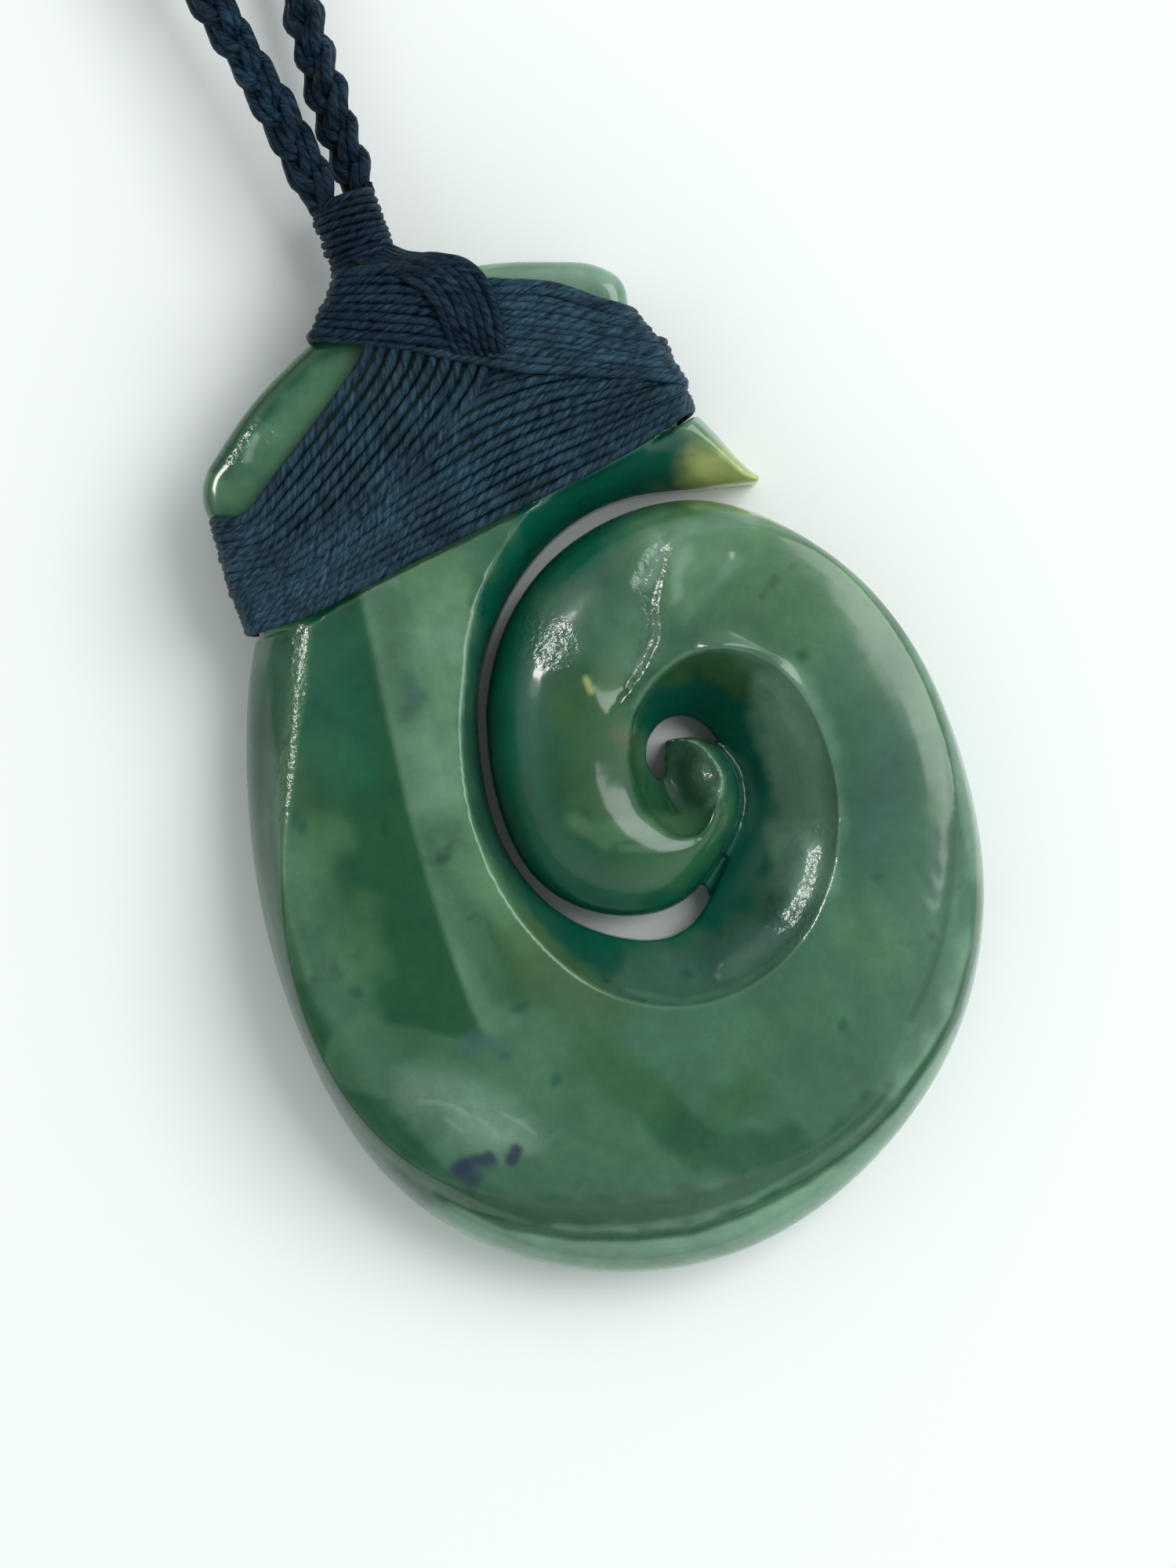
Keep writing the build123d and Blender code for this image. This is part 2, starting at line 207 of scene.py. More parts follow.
# Slow rise and fall of a hand-cut face, as a share of the drift, and the reach of its longest wave
face_drift = 0.035
face_drift_reach = 11.0

# Drift: the way that each wave runs, in radians, and how many times it fits in the reach
drift_waves = ((0.3, 1.0), (1.7, 1.7), (2.9, 2.6), (4.4, 3.9))
drift_skew = 1.13

# Narrowest part of the slot, and how far its walls are drawn apart to keep it open. Closer than the
# least distance a point counts as on the path
narrow_slot = [(-3.9, 13.0), (-5.6, 10.0), (-6.05, 8.0), (-6.4, 6.0), (-6.54, 4.0), (-6.4, 2.0), (-5.9, 0.0)]
slot_gap = 0.12
slot_reach = 1.0
least_away = 0.01

# Strokes with an edge wider than a crisp one wander by this much
crisp_edge = 0.5
brush_drift = 0.20
brush_drift_reach = 3.0


def merged_copy(name):
    """A copy of the mesh of a piece of the part, with its loose triangles merged."""
    work = bmesh.new()
    work.from_mesh(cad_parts[name].data)
    bmesh.ops.remove_doubles(work, verts=work.verts, dist=merge_distance)
    return work


def nearest_on(points, path):
    """Distance of each point to a path, with the foot on the path, the share along it and the side."""
    nearest = np.full(len(points), 1e9)
    feet = np.zeros((len(points), 2))
    shares = np.zeros(len(points))
    sides = np.zeros(len(points))
    ends = path if len(path) > 1 else path * 2
    for index, (first, second) in enumerate(zip(ends, ends[1:])):
        start = np.array(first)
        run = np.array(second) - start
        off = points - start
        along = np.clip((off @ run) / max(run @ run, 1e-9), 0, 1)
        foot = start + along[:, None] * run
        away = np.linalg.norm(points - foot, axis=1)
        closer = away < nearest
        nearest[closer] = away[closer]
        feet[closer] = foot[closer]
        shares[closer] = (index + along[closer]) / (len(ends) - 1)
        sides[closer] = np.sign(run[0] * off[closer, 1] - run[1] * off[closer, 0])
    return nearest, feet, shares, sides


def eased(share):
    """Smooth step from 0 to 1."""
    share = np.clip(share, 0, 1)
    return share * share * (3 - 2 * share)


def per_vertex(mesh, field):
    """The three numbers that each vertex of a mesh has in a field."""
    numbers = np.empty(len(mesh.vertices) * 3)
    mesh.vertices.foreach_get(field, numbers)
    return numbers.reshape(-1, 3)


def vertex_places(mesh):
    """Places of a mesh's vertices, in millimetres."""
    return per_vertex(mesh, "co") / MM


def wandered(level, size, reach):
    """Places across the stone moved by a slow irregular drift, so that painted edges aren't ruled."""
    moved = level.copy()
    for turn, wave in drift_waves:
        along = level @ np.array([math.cos(turn), math.sin(turn)]) * 2 * math.pi * wave / reach
        moved[:, 0] += size / wave ** 2 * np.sin(along + turn * 5)
        moved[:, 1] += size / wave ** 2 * np.cos(along * drift_skew + turn * 3)
    return moved


right_edge = [
    (18.4, 16.0), (20.5, 13.8), (22.1, 10.7), (22.9, 7.8), (23.5, 4.6), (23.6, 1.4), (23.3, -1.6),
    (22.1, -6.1), (20.6, -9.7), (18.7, -13.1), (16.8, -15.6), (14.9, -17.6),
]
dome_rim = [
    (13.9, 19.9), (8.7, 20.9), (3.7, 19.6), (-0.4, 16.6), (-3.9, 11.5), (-5.4, 5.8), (-4.7, 0.0),
    (-1.6, -4.0), (2.7, -4.9), (5.6, -4.4),
]

# Bench work: how far the face is lifted at the first and the last point of a path, fading out at the
# reach. With a side of 1 or -1 only the left or the right of the path moves, which leaves a small step
Move = namedtuple("Move", "first last reach side path")
bench_moves = [
    # Outer slope of the scoop, fuller towards its rim
    Move(0.75, 0.75, 2.3, 0, [
        (11.0, 9.3), (13.5, 6.6), (14.1, 1.6), (12.9, -3.5), (10.6, -6.8), (7.6, -8.7), (4.6, -9.6),
    ]),
    # Shelf that the burr left low on that slope
    Move(0.70, 0.55, 1.5, 0, [(12.0, -4.6), (10.9, -6.4), (9.2, -8.0)]),
    # Crease that deepens from the head of the dome to the eye
    Move(-0.20, -0.70, 3.4, -1, [(9.6, 16.2), (8.3, 14.4), (7.7, 12.3), (6.4, 10.9), (5.2, 10.0)]),
    Move(-0.24, -0.16, 1.3, -1, [(10.4, 18.0), (9.3, 16.9), (8.2, 15.9)]),
    Move(0.08, 0.02, 0.6, 0, [(13.9, 15.6), (12.4, 14.3), (10.6, 13.4)]),
    # Full face of the left wing
    Move(0.16, 0.16, 2.2, 0, [(-14.2, 32.3), (-12.6, 33.2)]),
    # Facets of the curl
    Move(0.20, 0.20, 0.9, 0, [(7.5, 4.8), (8.3, 3.3), (8.6, 1.9), (8.0, 0.8), (7.1, 0.4)]),
    Move(1.50, 1.50, 1.5, 0, [(7.2, 2.9), (7.4, 1.5)]),
    # Hairlines that the wheel leaves along the edge of the face and the foot of the chamfer
    Move(-0.04, -0.04, 0.4, 0, [
        (-20.9, 9.0), (-22.2, 3.3), (-22.6, -2.2), (-22.3, -5.0), (-20.4, -13.4), (-18.2, -16.8),
        (-16.0, -19.1), (-11.7, -20.9), (-7.4, -22.6), (-3.4, -23.6), (0.7, -24.0), (4.8, -23.9),
        (8.5, -23.1), (11.6, -21.1), (14.4, -18.7), (17.3, -15.8),
    ]),
    Move(-0.05, -0.05, 0.4, 0, right_edge),
    Move(-0.05, -0.05, 0.45, 0, [
        (-18.8, -17.6), (-17.4, -19.7), (-15.3, -21.4), (-11.4, -23.6), (-7.7, -25.0), (-3.7, -26.0),
        (0.3, -26.0), (4.2, -25.5), (8.3, -24.4), (12.0, -22.7), (15.2, -20.6), (17.8, -18.5),
        (20.6, -14.6), (22.6, -10.0),
    ]),
]


def worked(mesh, moves):
    """Lifts and lowers the upward faces of a mesh along the paths of bench moves."""
    places = vertex_places(mesh)
    upward = eased((per_vertex(mesh, "normal")[:, 2] - face_slope) / face_slope_fade)
    upward *= eased((places[:, 2] - wall_height) / wall_height_fade)
    lift = np.zeros(len(places))
    for move in moves:
        away, _, share, side = nearest_on(places[:, :2], move.path)
        fade = 1 - eased(away / move.reach)
        if move.side:
            fade = fade * (side == move.side)
        lift += (move.first + (move.last - move.first) * share) * fade
    drift = wandered(places[:, :2], 1.0, face_drift_reach) - places[:, :2]
    lift += face_drift * drift[:, 0]
    places[:, 2] += lift * upward
    mesh.vertices.foreach_set("co", places.ravel() * MM)
    mesh.update()


def parted(work, path, gap, reach):
    """Draws the walls along a path apart, so that a narrow slot stays open."""
    places = np.array([vertex.co for vertex in work.verts]) / MM
    away, feet, share, _ = nearest_on(places[:, :2], path)
    push = gap * (1 - eased((away - reach / 2) / reach)) * np.sin(math.pi * share)
    moved = places[:, :2] + (places[:, :2] - feet) / np.maximum(away, least_away)[:, None] * push[:, None]
    for vertex, place in zip(work.verts, moved):
        vertex.co.x = place[0] * MM
        vertex.co.y = place[1] * MM


work = merged_copy("koru_stone")
parted(work, narrow_slot, slot_gap, slot_reach)
stone_mesh = bpy.data.meshes.new("koru_stone_carved")
work.to_mesh(stone_mesh)
work.free()
stone = object_from("koru_stone_carved", stone_mesh)
remesh = stone.modifiers.new("even", "REMESH")
remesh.mode = "VOXEL"
remesh.voxel_size = voxel
remesh.use_smooth_shade = True
baked(stone)
worked(stone.data, bench_moves)
smooth = stone.modifiers.new("polish", "SMOOTH")
smooth.factor = polish_factor
smooth.iterations = polish_rounds
facing = per_vertex(stone.data, "normal")[:, 2]
plain_side = stone.vertex_groups.new(name="plain_side")
plain_side.add(np.nonzero(facing < painted_slope)[0].tolist(), 1.0, "REPLACE")
thin = stone.modifiers.new("thin", "DECIMATE")
thin.ratio = kept_share
thin.vertex_group = plain_side.name
baked(stone)

# Colours of the stone and of the light and shade painted on it: from the dark of its cut edges, partly
# painted shade, to the pale of its healed cracks, and the milk and frost that also paint highlights, glints
# and reflections
deep = "#044a3c"
teal = "#065b46"
forest = "#164a2c"
leaf = "#305d34"
olive = "#415e35"
sage = "#456a50"
jade = "#587e5a"
# Milk: pale healed cracks, and also painted highlights and reflections
milk_and_sheen = "#6d8f78"
straw = "#b6bd78"
smoke = "#3d5d56"
plum = "#232b48"
# Frost: frosted wear, and also painted glints
frost_and_glint = "#8faa99"
rust = "#54533a"
body = "#406650"

# Small dark grains of the stone, each painted on a short run
speck_run = (0.2, 0.1)
speck_places = (
    (-15.4, 15.6), (-15.0, 14.5), (-19.4, 9.0), (-19.0, 8.2), (-16.7, 3.6), (-19.6, -3.2), (-10.9, 3.0),
    (-9.5, -7.9), (-3.2, 18.6), (-8.8, -13.5), (10.3, -16.3), (16.3, 7.7), (1.5, -9.9),
)

# A stroke covers its path fully within the width, and fades out over the edge beyond it
Stroke = namedtuple("Stroke", "tint width edge strength path")
stone_strokes = [
    # Ground of the dome, with painted shade where it turns down into the slot
    Stroke(forest, 2.5, 3.5, 0.80, [(0.2, 12.8), (-0.8, 8.0), (0.0, 3.5), (2.8, 0.5)]),
    Stroke(forest, 2.2, 3.4, 0.70, dome_rim),
    Stroke(teal, 1.2, 2.4, 0.90, dome_rim),
    # Face of the wheel
    Stroke(jade, 2.0, 5.0, 0.90, [(12.0, 17.0), (13.5, 16.0), (17.5, 12.6), (19.0, 9.5)]),
    Stroke(milk_and_sheen, 0.8, 2.4, 0.25, [(10.8, 17.2), (12.8, 16.6)]),
    Stroke(sage, 1.5, 3.5, 0.55, [(17.5, 12.2), (15.8, 10.8), (14.0, 12.7)]),
    Stroke(jade, 0.4, 1.0, 0.50, [(20.6, 11.6), (22.0, 9.2), (22.7, 5.8), (22.7, 0.5), (21.6, -5.0)]),
    Stroke(smoke, 0.7, 1.8, 0.40, [(18.2, 6.1), (19.3, 7.1)]),
    Stroke(smoke, 0.7, 1.8, 0.45, [(19.5, -0.3), (18.7, -1.9), (16.5, -5.5)]),
    Stroke(jade, 0.8, 2.6, 0.45, [(13.8, -11.0), (14.6, -12.8)]),
    Stroke(jade, 1.0, 3.6, 0.15, [(4.0, -16.0), (9.0, -15.4)]),
    # Stem: deep green on the left, and a healed crack with a crisp left edge
    Stroke(forest, 2.6, 2.6, 0.90, [
        (-12.1, 20.8), (-13.3, 15.7), (-14.6, 9.9), (-15.3, 3.8), (-15.4, -2.2), (-14.6, -6.8),
    ]),
    Stroke(leaf, 1.2, 2.0, 0.45, [(-15.8, 12.0), (-17.6, 8.0)]),
    Stroke(teal, 1.4, 2.4, 0.40, [(-13.2, 19.6), (-14.4, 15.2), (-15.2, 11.2)]),
    Stroke(jade, 0.6, 2.2, 0.40, [(-18.0, 7.4), (-19.3, 5.7), (-20.3, 4.0)]),
    Stroke(jade, 0.5, 2.2, 0.40, [(-17.5, 1.4), (-18.6, 0.3), (-18.4, -1.6)]),
    Stroke(sage, 0.5, 2.0, 0.45, [(-20.8, 2.1), (-20.6, -1.4), (-19.9, -4.4)]),
    Stroke(sage, 2.0, 0.5, 0.80, [
        (-7.9, 21.0), (-8.3, 18.0), (-9.1, 12.0), (-9.8, 6.0), (-10.2, 0.0), (-10.3, -6.0), (-10.0, -8.6),
    ]),
    Stroke(jade, 1.6, 1.8, 0.80, [(-5.0, 20.4), (-6.4, 15.6), (-7.6, 11.0), (-8.4, 6.6), (-8.4, 2.2)]),
    Stroke(milk_and_sheen, 1.1, 0.5, 0.42, [
        (-8.6, 21.4), (-9.1, 17.0), (-9.8, 12.0), (-10.5, 7.0), (-10.9, 2.0), (-11.1, -3.9),
        (-11.0, -8.0),
    ]),
    Stroke(milk_and_sheen, 1.0, 2.2, 0.25, [(-5.4, 19.0), (-7.0, 12.0), (-8.2, 6.0), (-8.6, 1.0)]),
    Stroke(forest, 0.4, 1.4, 0.30, [(-8.4, 20.4), (-8.9, 16.0), (-9.4, 13.2)]),
    Stroke(smoke, 0.2, 0.8, 0.55, [(-8.9, 14.9), (-8.7, 13.9), (-9.4, 13.4)]),
    Stroke(milk_and_sheen, 0.5, 1.2, 0.50, [(-6.6, 17.1), (-5.4, 16.9), (-5.3, 16.1)]),
    Stroke(sage, 1.4, 2.4, 0.60, [(-9.8, -7.4), (-9.0, -10.2), (-8.0, -12.4)]),
    Stroke(milk_and_sheen, 0.5, 1.4, 0.30, [(-7.2, 12.3), (-8.4, 8.3), (-8.8, 5.9)]),
    Stroke(forest, 0.6, 2.2, 0.50, [(-10.6, 4.5), (-10.1, -1.5), (-9.4, -6.0)]),
    Stroke(jade, 0.8, 1.6, 0.60, [(-8.4, 2.6), (-7.9, -0.6), (-6.6, -3.6)]),
    Stroke(olive, 0.8, 2.2, 0.60, [(-7.7, -4.1), (-7.2, -6.5), (-5.4, -8.6), (-4.0, -9.8)]),
    # Side of the stem: the dark band and the dark line at the edge of the face are painted reflection, and
    # the bright strip along its edge is a painted highlight
    Stroke(forest, 0.5, 1.6, 0.90, [
        (-18.5, 18.5), (-21.8, 11.0), (-23.3, 4.0), (-23.6, -3.0), (-22.4, -9.0), (-19.8, -15.0),
    ]),
    Stroke(jade, 0.3, 0.5, 0.45, [
        (-14.3, 20.7), (-16.1, 17.1), (-17.8, 14.0), (-19.9, 9.7), (-21.3, 6.5), (-22.0, 3.3),
        (-22.2, -1.0),
    ]),
    Stroke(forest, 0.1, 0.4, 0.60, [
        (-20.9, 9.0), (-22.2, 3.3), (-22.6, -2.2), (-22.3, -5.0), (-20.6, -12.2),
    ]),
    # Lower left: crisp foot of the deep green, frosted patch and dark inclusions
    Stroke(sage, 2.2, 0.5, 0.60, [(-20.4, -7.4), (-17.4, -9.1), (-14.4, -11.2)]),
    Stroke(sage, 2.2, 2.4, 0.60, [(-15.6, -12.0), (-11.6, -15.0), (-8.4, -18.4), (-6.6, -20.0)]),
    Stroke(frost_and_glint, 0.3, 2.6, 0.28, [(-17.3, -10.9), (-15.5, -12.2), (-13.9, -13.8), (-13.3, -15.2)]),
    Stroke(frost_and_glint, 0.2, 1.8, 0.20, [(-15.9, -14.5), (-13.7, -15.9), (-11.5, -16.4)]),
    Stroke(smoke, 0.2, 0.9, 0.75, [(-13.9, -9.1), (-12.5, -9.4), (-11.4, -10.0)]),
    Stroke(frost_and_glint, 0.03, 0.22, 0.25, [(-17.9, -11.6), (-16.9, -11.9), (-15.8, -12.6), (-15.0, -13.6)]),
    Stroke(frost_and_glint, 0.03, 0.22, 0.25, [(-14.6, -13.9), (-14.1, -14.6), (-13.7, -15.5)]),
    Stroke(frost_and_glint, 0.03, 0.20, 0.25, [(-12.9, -14.2), (-12.0, -15.1), (-11.3, -16.3)]),
    Stroke(frost_and_glint, 0.03, 0.20, 0.25, [(-16.6, -13.2), (-15.9, -14.3)]),
    Stroke(plum, 0.20, 0.60, 0.80, [(-17.1, -16.5), (-15.9, -16.7), (-14.8, -16.5)]),
    Stroke(plum, 0.35, 0.60, 0.80, [(-16.6, -17.1), (-16.3, -17.9)]),
    Stroke(plum, 0.25, 0.35, 0.80, [(-12.9, -16.8), (-13.4, -17.3)]),
    Stroke(sage, 0.3, 1.0, 0.55, [
        (-11.0, -8.9), (-9.6, -11.9), (-7.6, -14.6), (-5.7, -17.9), (-3.7, -21.0), (-0.6, -23.0),
    ]),
    Stroke(forest, 0.9, 1.3, 0.65, [(-2.6, -18.6), (-1.0, -20.8), (1.0, -22.4), (4.0, -22.9)]),
    Stroke(leaf, 0.6, 1.8, 0.65, [(-6.0, -12.4), (-4.6, -15.2), (-3.0, -17.0)]),
    Stroke(leaf, 0.5, 1.6, 0.50, [(1.3, -18.7), (3.0, -18.4)]),
    # Chamfer and walls: the pale walls below and on the right are painted light and reflection, the dark band
    # and lines along the chamfer and edges are painted reflection, and the thin pale line is a painted
    # highlight
    Stroke(milk_and_sheen, 1.0, 1.8, 0.85, [
        (-19.5, -20.5), (-16.0, -23.2), (-12.0, -25.0), (-6.0, -26.9), (0.3, -27.5), (6.0, -26.8),
        (12.0, -24.4), (17.5, -20.4), (21.5, -15.2),
    ]),
    Stroke(forest, 0.6, 0.9, 0.75, [
        (-19.7, -15.0), (-17.7, -18.0), (-14.9, -20.3), (-10.4, -22.2), (-5.4, -23.9), (-1.1, -24.7),
        (3.0, -24.6), (6.9, -24.0), (10.6, -22.4),
    ]),
    Stroke(milk_and_sheen, 0.05, 0.3, 0.30, [
        (-12.3, -22.6), (-8.0, -24.2), (-3.4, -25.2), (0.9, -25.3), (5.1, -24.6), (9.7, -23.2),
        (13.8, -21.0), (17.3, -18.3),
    ]),
    Stroke(forest, 0.15, 0.35, 0.90, [
        (-18.8, -17.6), (-15.3, -21.4), (-11.4, -23.6), (-7.7, -25.0), (-3.7, -26.0), (0.3, -26.0),
        (4.2, -25.5), (8.3, -24.4), (12.0, -22.7), (15.2, -20.6), (17.8, -18.5), (20.6, -14.6),
        (22.4, -10.4),
    ]),
    Stroke(forest, 0.1, 0.35, 0.55, right_edge),
    Stroke(milk_and_sheen, 0.4, 1.0, 0.45, [(24.4, 6.0), (24.6, 0.5), (23.9, -5.0), (22.6, -9.6)]),
    # Dome
    Stroke(leaf, 0.4, 1.6, 0.55, [(11.7, 19.4), (14.2, 18.9)]),
    Stroke(milk_and_sheen, 0.2, 0.9, 0.55, [(10.3, 18.2), (12.2, 18.4), (14.4, 18.1), (16.4, 17.5)]),
    Stroke(sage, 1.2, 2.4, 0.75, [(2.6, 15.4), (4.6, 13.6), (6.0, 12.6)]),
    # Greyish veil over the dome: painted reflection
    Stroke(smoke, 0.8, 2.4, 0.20, [(0.4, 12.6), (2.9, 14.2), (5.9, 15.8), (8.0, 16.4)]),
    Stroke(smoke, 0.4, 1.4, 0.20, [(-0.9, 13.3), (-1.8, 11.6), (-1.8, 9.5), (-1.4, 7.6)]),
    Stroke(olive, 1.2, 2.2, 0.45, [(1.2, 9.6), (2.8, 9.4), (2.2, 6.8), (0.2, 4.0)]),
    Stroke(rust, 0.2, 0.6, 0.60, [(2.9, 7.0), (3.3, 6.5)]),
    Stroke(straw, 0.05, 0.35, 0.55, [(2.2, 11.1), (2.3, 10.3)]),
    Stroke(forest, 0.8, 2.0, 0.45, [(-3.0, 5.0), (-2.6, 1.4), (-0.6, -1.2)]),
    Stroke(forest, 0.5, 1.6, 0.55, [(1.0, -3.2), (3.2, -3.6), (5.6, -3.2)]),
    Stroke(leaf, 0.6, 1.6, 0.45, [(0.4, -1.6), (3.1, -2.9), (6.1, -2.2), (7.9, -0.9)]),
    Stroke(forest, 0.6, 1.6, 0.60, [(1.4, 5.2), (2.0, 2.4), (3.6, 0.2), (5.4, -1.0)]),
    # Pale band on the dome near the eye: painted highlight
    Stroke(jade, 0.3, 1.0, 0.45, [(-1.7, 2.4), (-0.1, 1.0), (2.4, 0.4), (4.5, -0.1), (5.9, -0.1)]),
    Stroke(milk_and_sheen, 0.1, 0.3, 0.25, [(0.6, -0.3), (3.2, -1.3), (5.2, -1.5)]),
    # Curl and eye
    Stroke(sage, 0.6, 1.0, 0.60, [(5.8, 4.7), (6.5, 2.8), (7.5, 1.8)]),
    # Line along the ridge of the curl: painted highlight
    Stroke(milk_and_sheen, 0.1, 0.3, 0.55, [(7.5, 4.8), (8.2, 3.3), (8.6, 1.9), (8.0, 0.8), (7.1, 0.4)]),
    Stroke(leaf, 0.2, 0.7, 0.60, [(8.6, 4.4), (9.4, 2.5), (9.3, 0.7), (8.0, -0.9)]),
    # Scoop, with painted shade in its groove, painted reflection as a pale haze and painted glints on its
    # outer slope, and a painted highlight along its rim
    Stroke(forest, 0.8, 1.6, 0.80, [(5.6, 8.3), (8.0, 9.0), (10.4, 8.4), (12.2, 5.6)]),
    Stroke(olive, 0.3, 1.4, 0.45, [(8.4, 9.4), (10.6, 8.9), (12.0, 7.2)]),
    Stroke(deep, 1.1, 1.2, 0.95, [
        (6.2, 7.0), (8.6, 7.1), (10.2, 5.6), (10.8, 2.9), (10.7, 0.5), (9.8, -1.6), (8.4, -3.6),
        (6.3, -5.0), (4.5, -6.0),
    ]),
    Stroke(milk_and_sheen, 1.3, 1.6, 0.75, [(14.1, 5.4), (14.0, 1.6), (12.9, -3.0), (11.4, -6.0)]),
    Stroke(smoke, 0.8, 1.8, 0.45, [(9.0, -8.4), (5.6, -9.4), (1.6, -9.4), (-1.6, -8.4)]),
    Stroke(frost_and_glint, 0.2, 1.1, 0.35, [(11.9, -3.6), (12.2, -5.2), (10.8, -6.6)]),
    Stroke(milk_and_sheen, 0.08, 0.25, 0.22, [
        (4.6, 8.3), (5.6, 9.1), (7.3, 9.9), (9.0, 10.4), (10.6, 10.3), (12.4, 9.4), (13.9, 8.1),
        (14.9, 6.2), (15.5, 4.2), (15.7, 1.8), (15.5, -0.9), (14.7, -3.6), (13.5, -6.1), (11.9, -8.1),
        (9.9, -9.9), (7.7, -10.9), (4.2, -11.7), (0.9, -11.3), (-2.3, -9.4),
    ]),
    # Dark along the stem's edge of the slot: painted shade
    Stroke(deep, 0.5, 1.1, 0.80, [
        (3.6, 21.8), (0.2, 19.9), (-2.6, 16.9), (-4.8, 12.9), (-6.4, 8.9), (-7.0, 4.4), (-6.6, 0.0),
        (-5.0, -4.0), (-2.6, -7.0),
    ]),
    # Crease streaks: pale scratches of the stone, and painted glints and reflections along the crease and the
    # ridge beside it
    Stroke(frost_and_glint, 0.1, 0.8, 0.35, [(10.3, 17.6), (9.2, 16.8), (8.2, 16.0)]),
    Stroke(frost_and_glint, 0.12, 0.6, 0.35, [(11.3, 17.0), (10.5, 15.6), (9.6, 14.3)]),
    Stroke(frost_and_glint, 0.08, 0.3, 0.40, [(7.9, 13.3), (7.7, 12.3), (6.6, 11.3), (5.6, 10.5)]),
    Stroke(milk_and_sheen, 0.1, 0.7, 0.30, [(14.3, 15.4), (13.0, 14.5), (11.4, 13.7), (9.8, 13.1)]),
    # Beak, with painted shade along the end of the slot
    Stroke(deep, 1.0, 1.4, 0.95, [(2.8, 21.8), (7.3, 23.4), (11.3, 23.6), (12.4, 23.4)]),
    Stroke(straw, 0.6, 2.4, 0.90, [(14.9, 21.4), (16.0, 20.9), (17.6, 19.9)]),
    Stroke(jade, 0.3, 0.9, 0.70, [(14.6, 25.5), (15.9, 23.6), (17.2, 21.2)]),
    # Wings of the head. On the left wing the dark band along its edge is painted reflection, and the small
    # pale mark is a painted glint
    Stroke(milk_and_sheen, 1.0, 2.0, 0.90, [(6.2, 38.9), (9.3, 38.0), (12.2, 36.7), (13.4, 34.8)]),
    Stroke(frost_and_glint, 0.6, 1.6, 0.30, [(6.2, 38.6), (9.3, 37.6), (12.0, 36.4)]),
    Stroke(leaf, 0.1, 0.5, 0.25, [(5.6, 38.8), (8.1, 38.4), (9.1, 38.3)]),
    Stroke(forest, 0.5, 0.8, 0.85, [
        (-4.1, 37.6), (-6.4, 38.6), (-9.9, 37.0), (-12.2, 35.7), (-14.4, 34.4), (-15.8, 33.2),
    ]),
    Stroke(jade, 0.5, 1.2, 0.35, [(-4.2, 36.4), (-6.5, 35.8), (-8.8, 34.8), (-10.8, 33.7), (-12.8, 32.4)]),
    Stroke(jade, 0.4, 0.9, 0.55, [(-16.8, 32.0), (-16.2, 31.2), (-15.2, 30.8)]),
    Stroke(frost_and_glint, 0.05, 0.4, 0.50, [(-13.0, 33.9), (-13.6, 33.3), (-14.0, 32.7)]),
]
stone_strokes += [
    Stroke(deep, 0.08, 0.60, 0.60, [(across, along), (across + speck_run[0], along + speck_run[1])])
    for across, along in speck_places
]

# Places where the polish is worn, each full within its width and fading out over its edge
Wear = namedtuple("Wear", "width edge path")
worn_places = [
    Wear(0.9, 1.4, [(0.2, 15.2), (1.2, 13.6)]),
    Wear(0.4, 0.8, [(10.4, 18.0), (8.2, 15.9), (8.1, 14.0), (7.6, 12.4), (5.6, 10.4)]),
    Wear(0.8, 1.2, [(12.8, -4.6), (11.6, -6.8), (9.4, -8.8)]),
    Wear(0.5, 1.0, [(7.2, 4.2), (8.0, 2.2), (7.0, 1.0)]),
    Wear(0.5, 1.0, [(-14.4, 33.0), (-12.4, 34.0)]),
    Wear(0.5, 2.0, [(-17.4, -11.6), (-13.0, -15.4)]),
    Wear(0.3, 0.6, [(-14.3, 21.6), (-16.1, 17.1), (-17.8, 14.0), (-19.9, 9.7)]),
]


def cover(mark, away):
    """How fully a stroke or a worn place covers points that are some way from its path."""
    return eased((mark.width + mark.edge - away) / mark.edge)


def paint(thing, ground, strokes):
    """Paints soft strokes over a ground colour, into the colour attribute of an object."""
    level = vertex_places(thing.data)[:, :2]
    loose = wandered(level, brush_drift, brush_drift_reach)
    colour = np.tile(np.array(linear(ground)), (len(level), 1))
    for stroke in strokes:
        away = nearest_on(level if stroke.edge <= crisp_edge else loose, stroke.path)[0]
        weight = stroke.strength * cover(stroke, away)
        colour += weight[:, None] * (np.array(linear(stroke.tint)) - colour)
    layer = thing.data.color_attributes.new("painted", "FLOAT_COLOR", "POINT")
    layer.data.foreach_set("color", colour.ravel())


def wear(thing, places):
    """Writes how worn the polish is, from 0 to 1, into an attribute of an object."""
    level = vertex_places(thing.data)[:, :2]
    worn = np.zeros(len(level))
    for place in places:
        worn = np.maximum(worn, cover(place, nearest_on(level, place.path)[0]))
    layer = thing.data.attributes.new("worn", "FLOAT", "POINT")
    layer.data.foreach_set("value", worn.astype(np.float32))


paint(stone, body, stone_strokes)
wear(stone, worn_places)

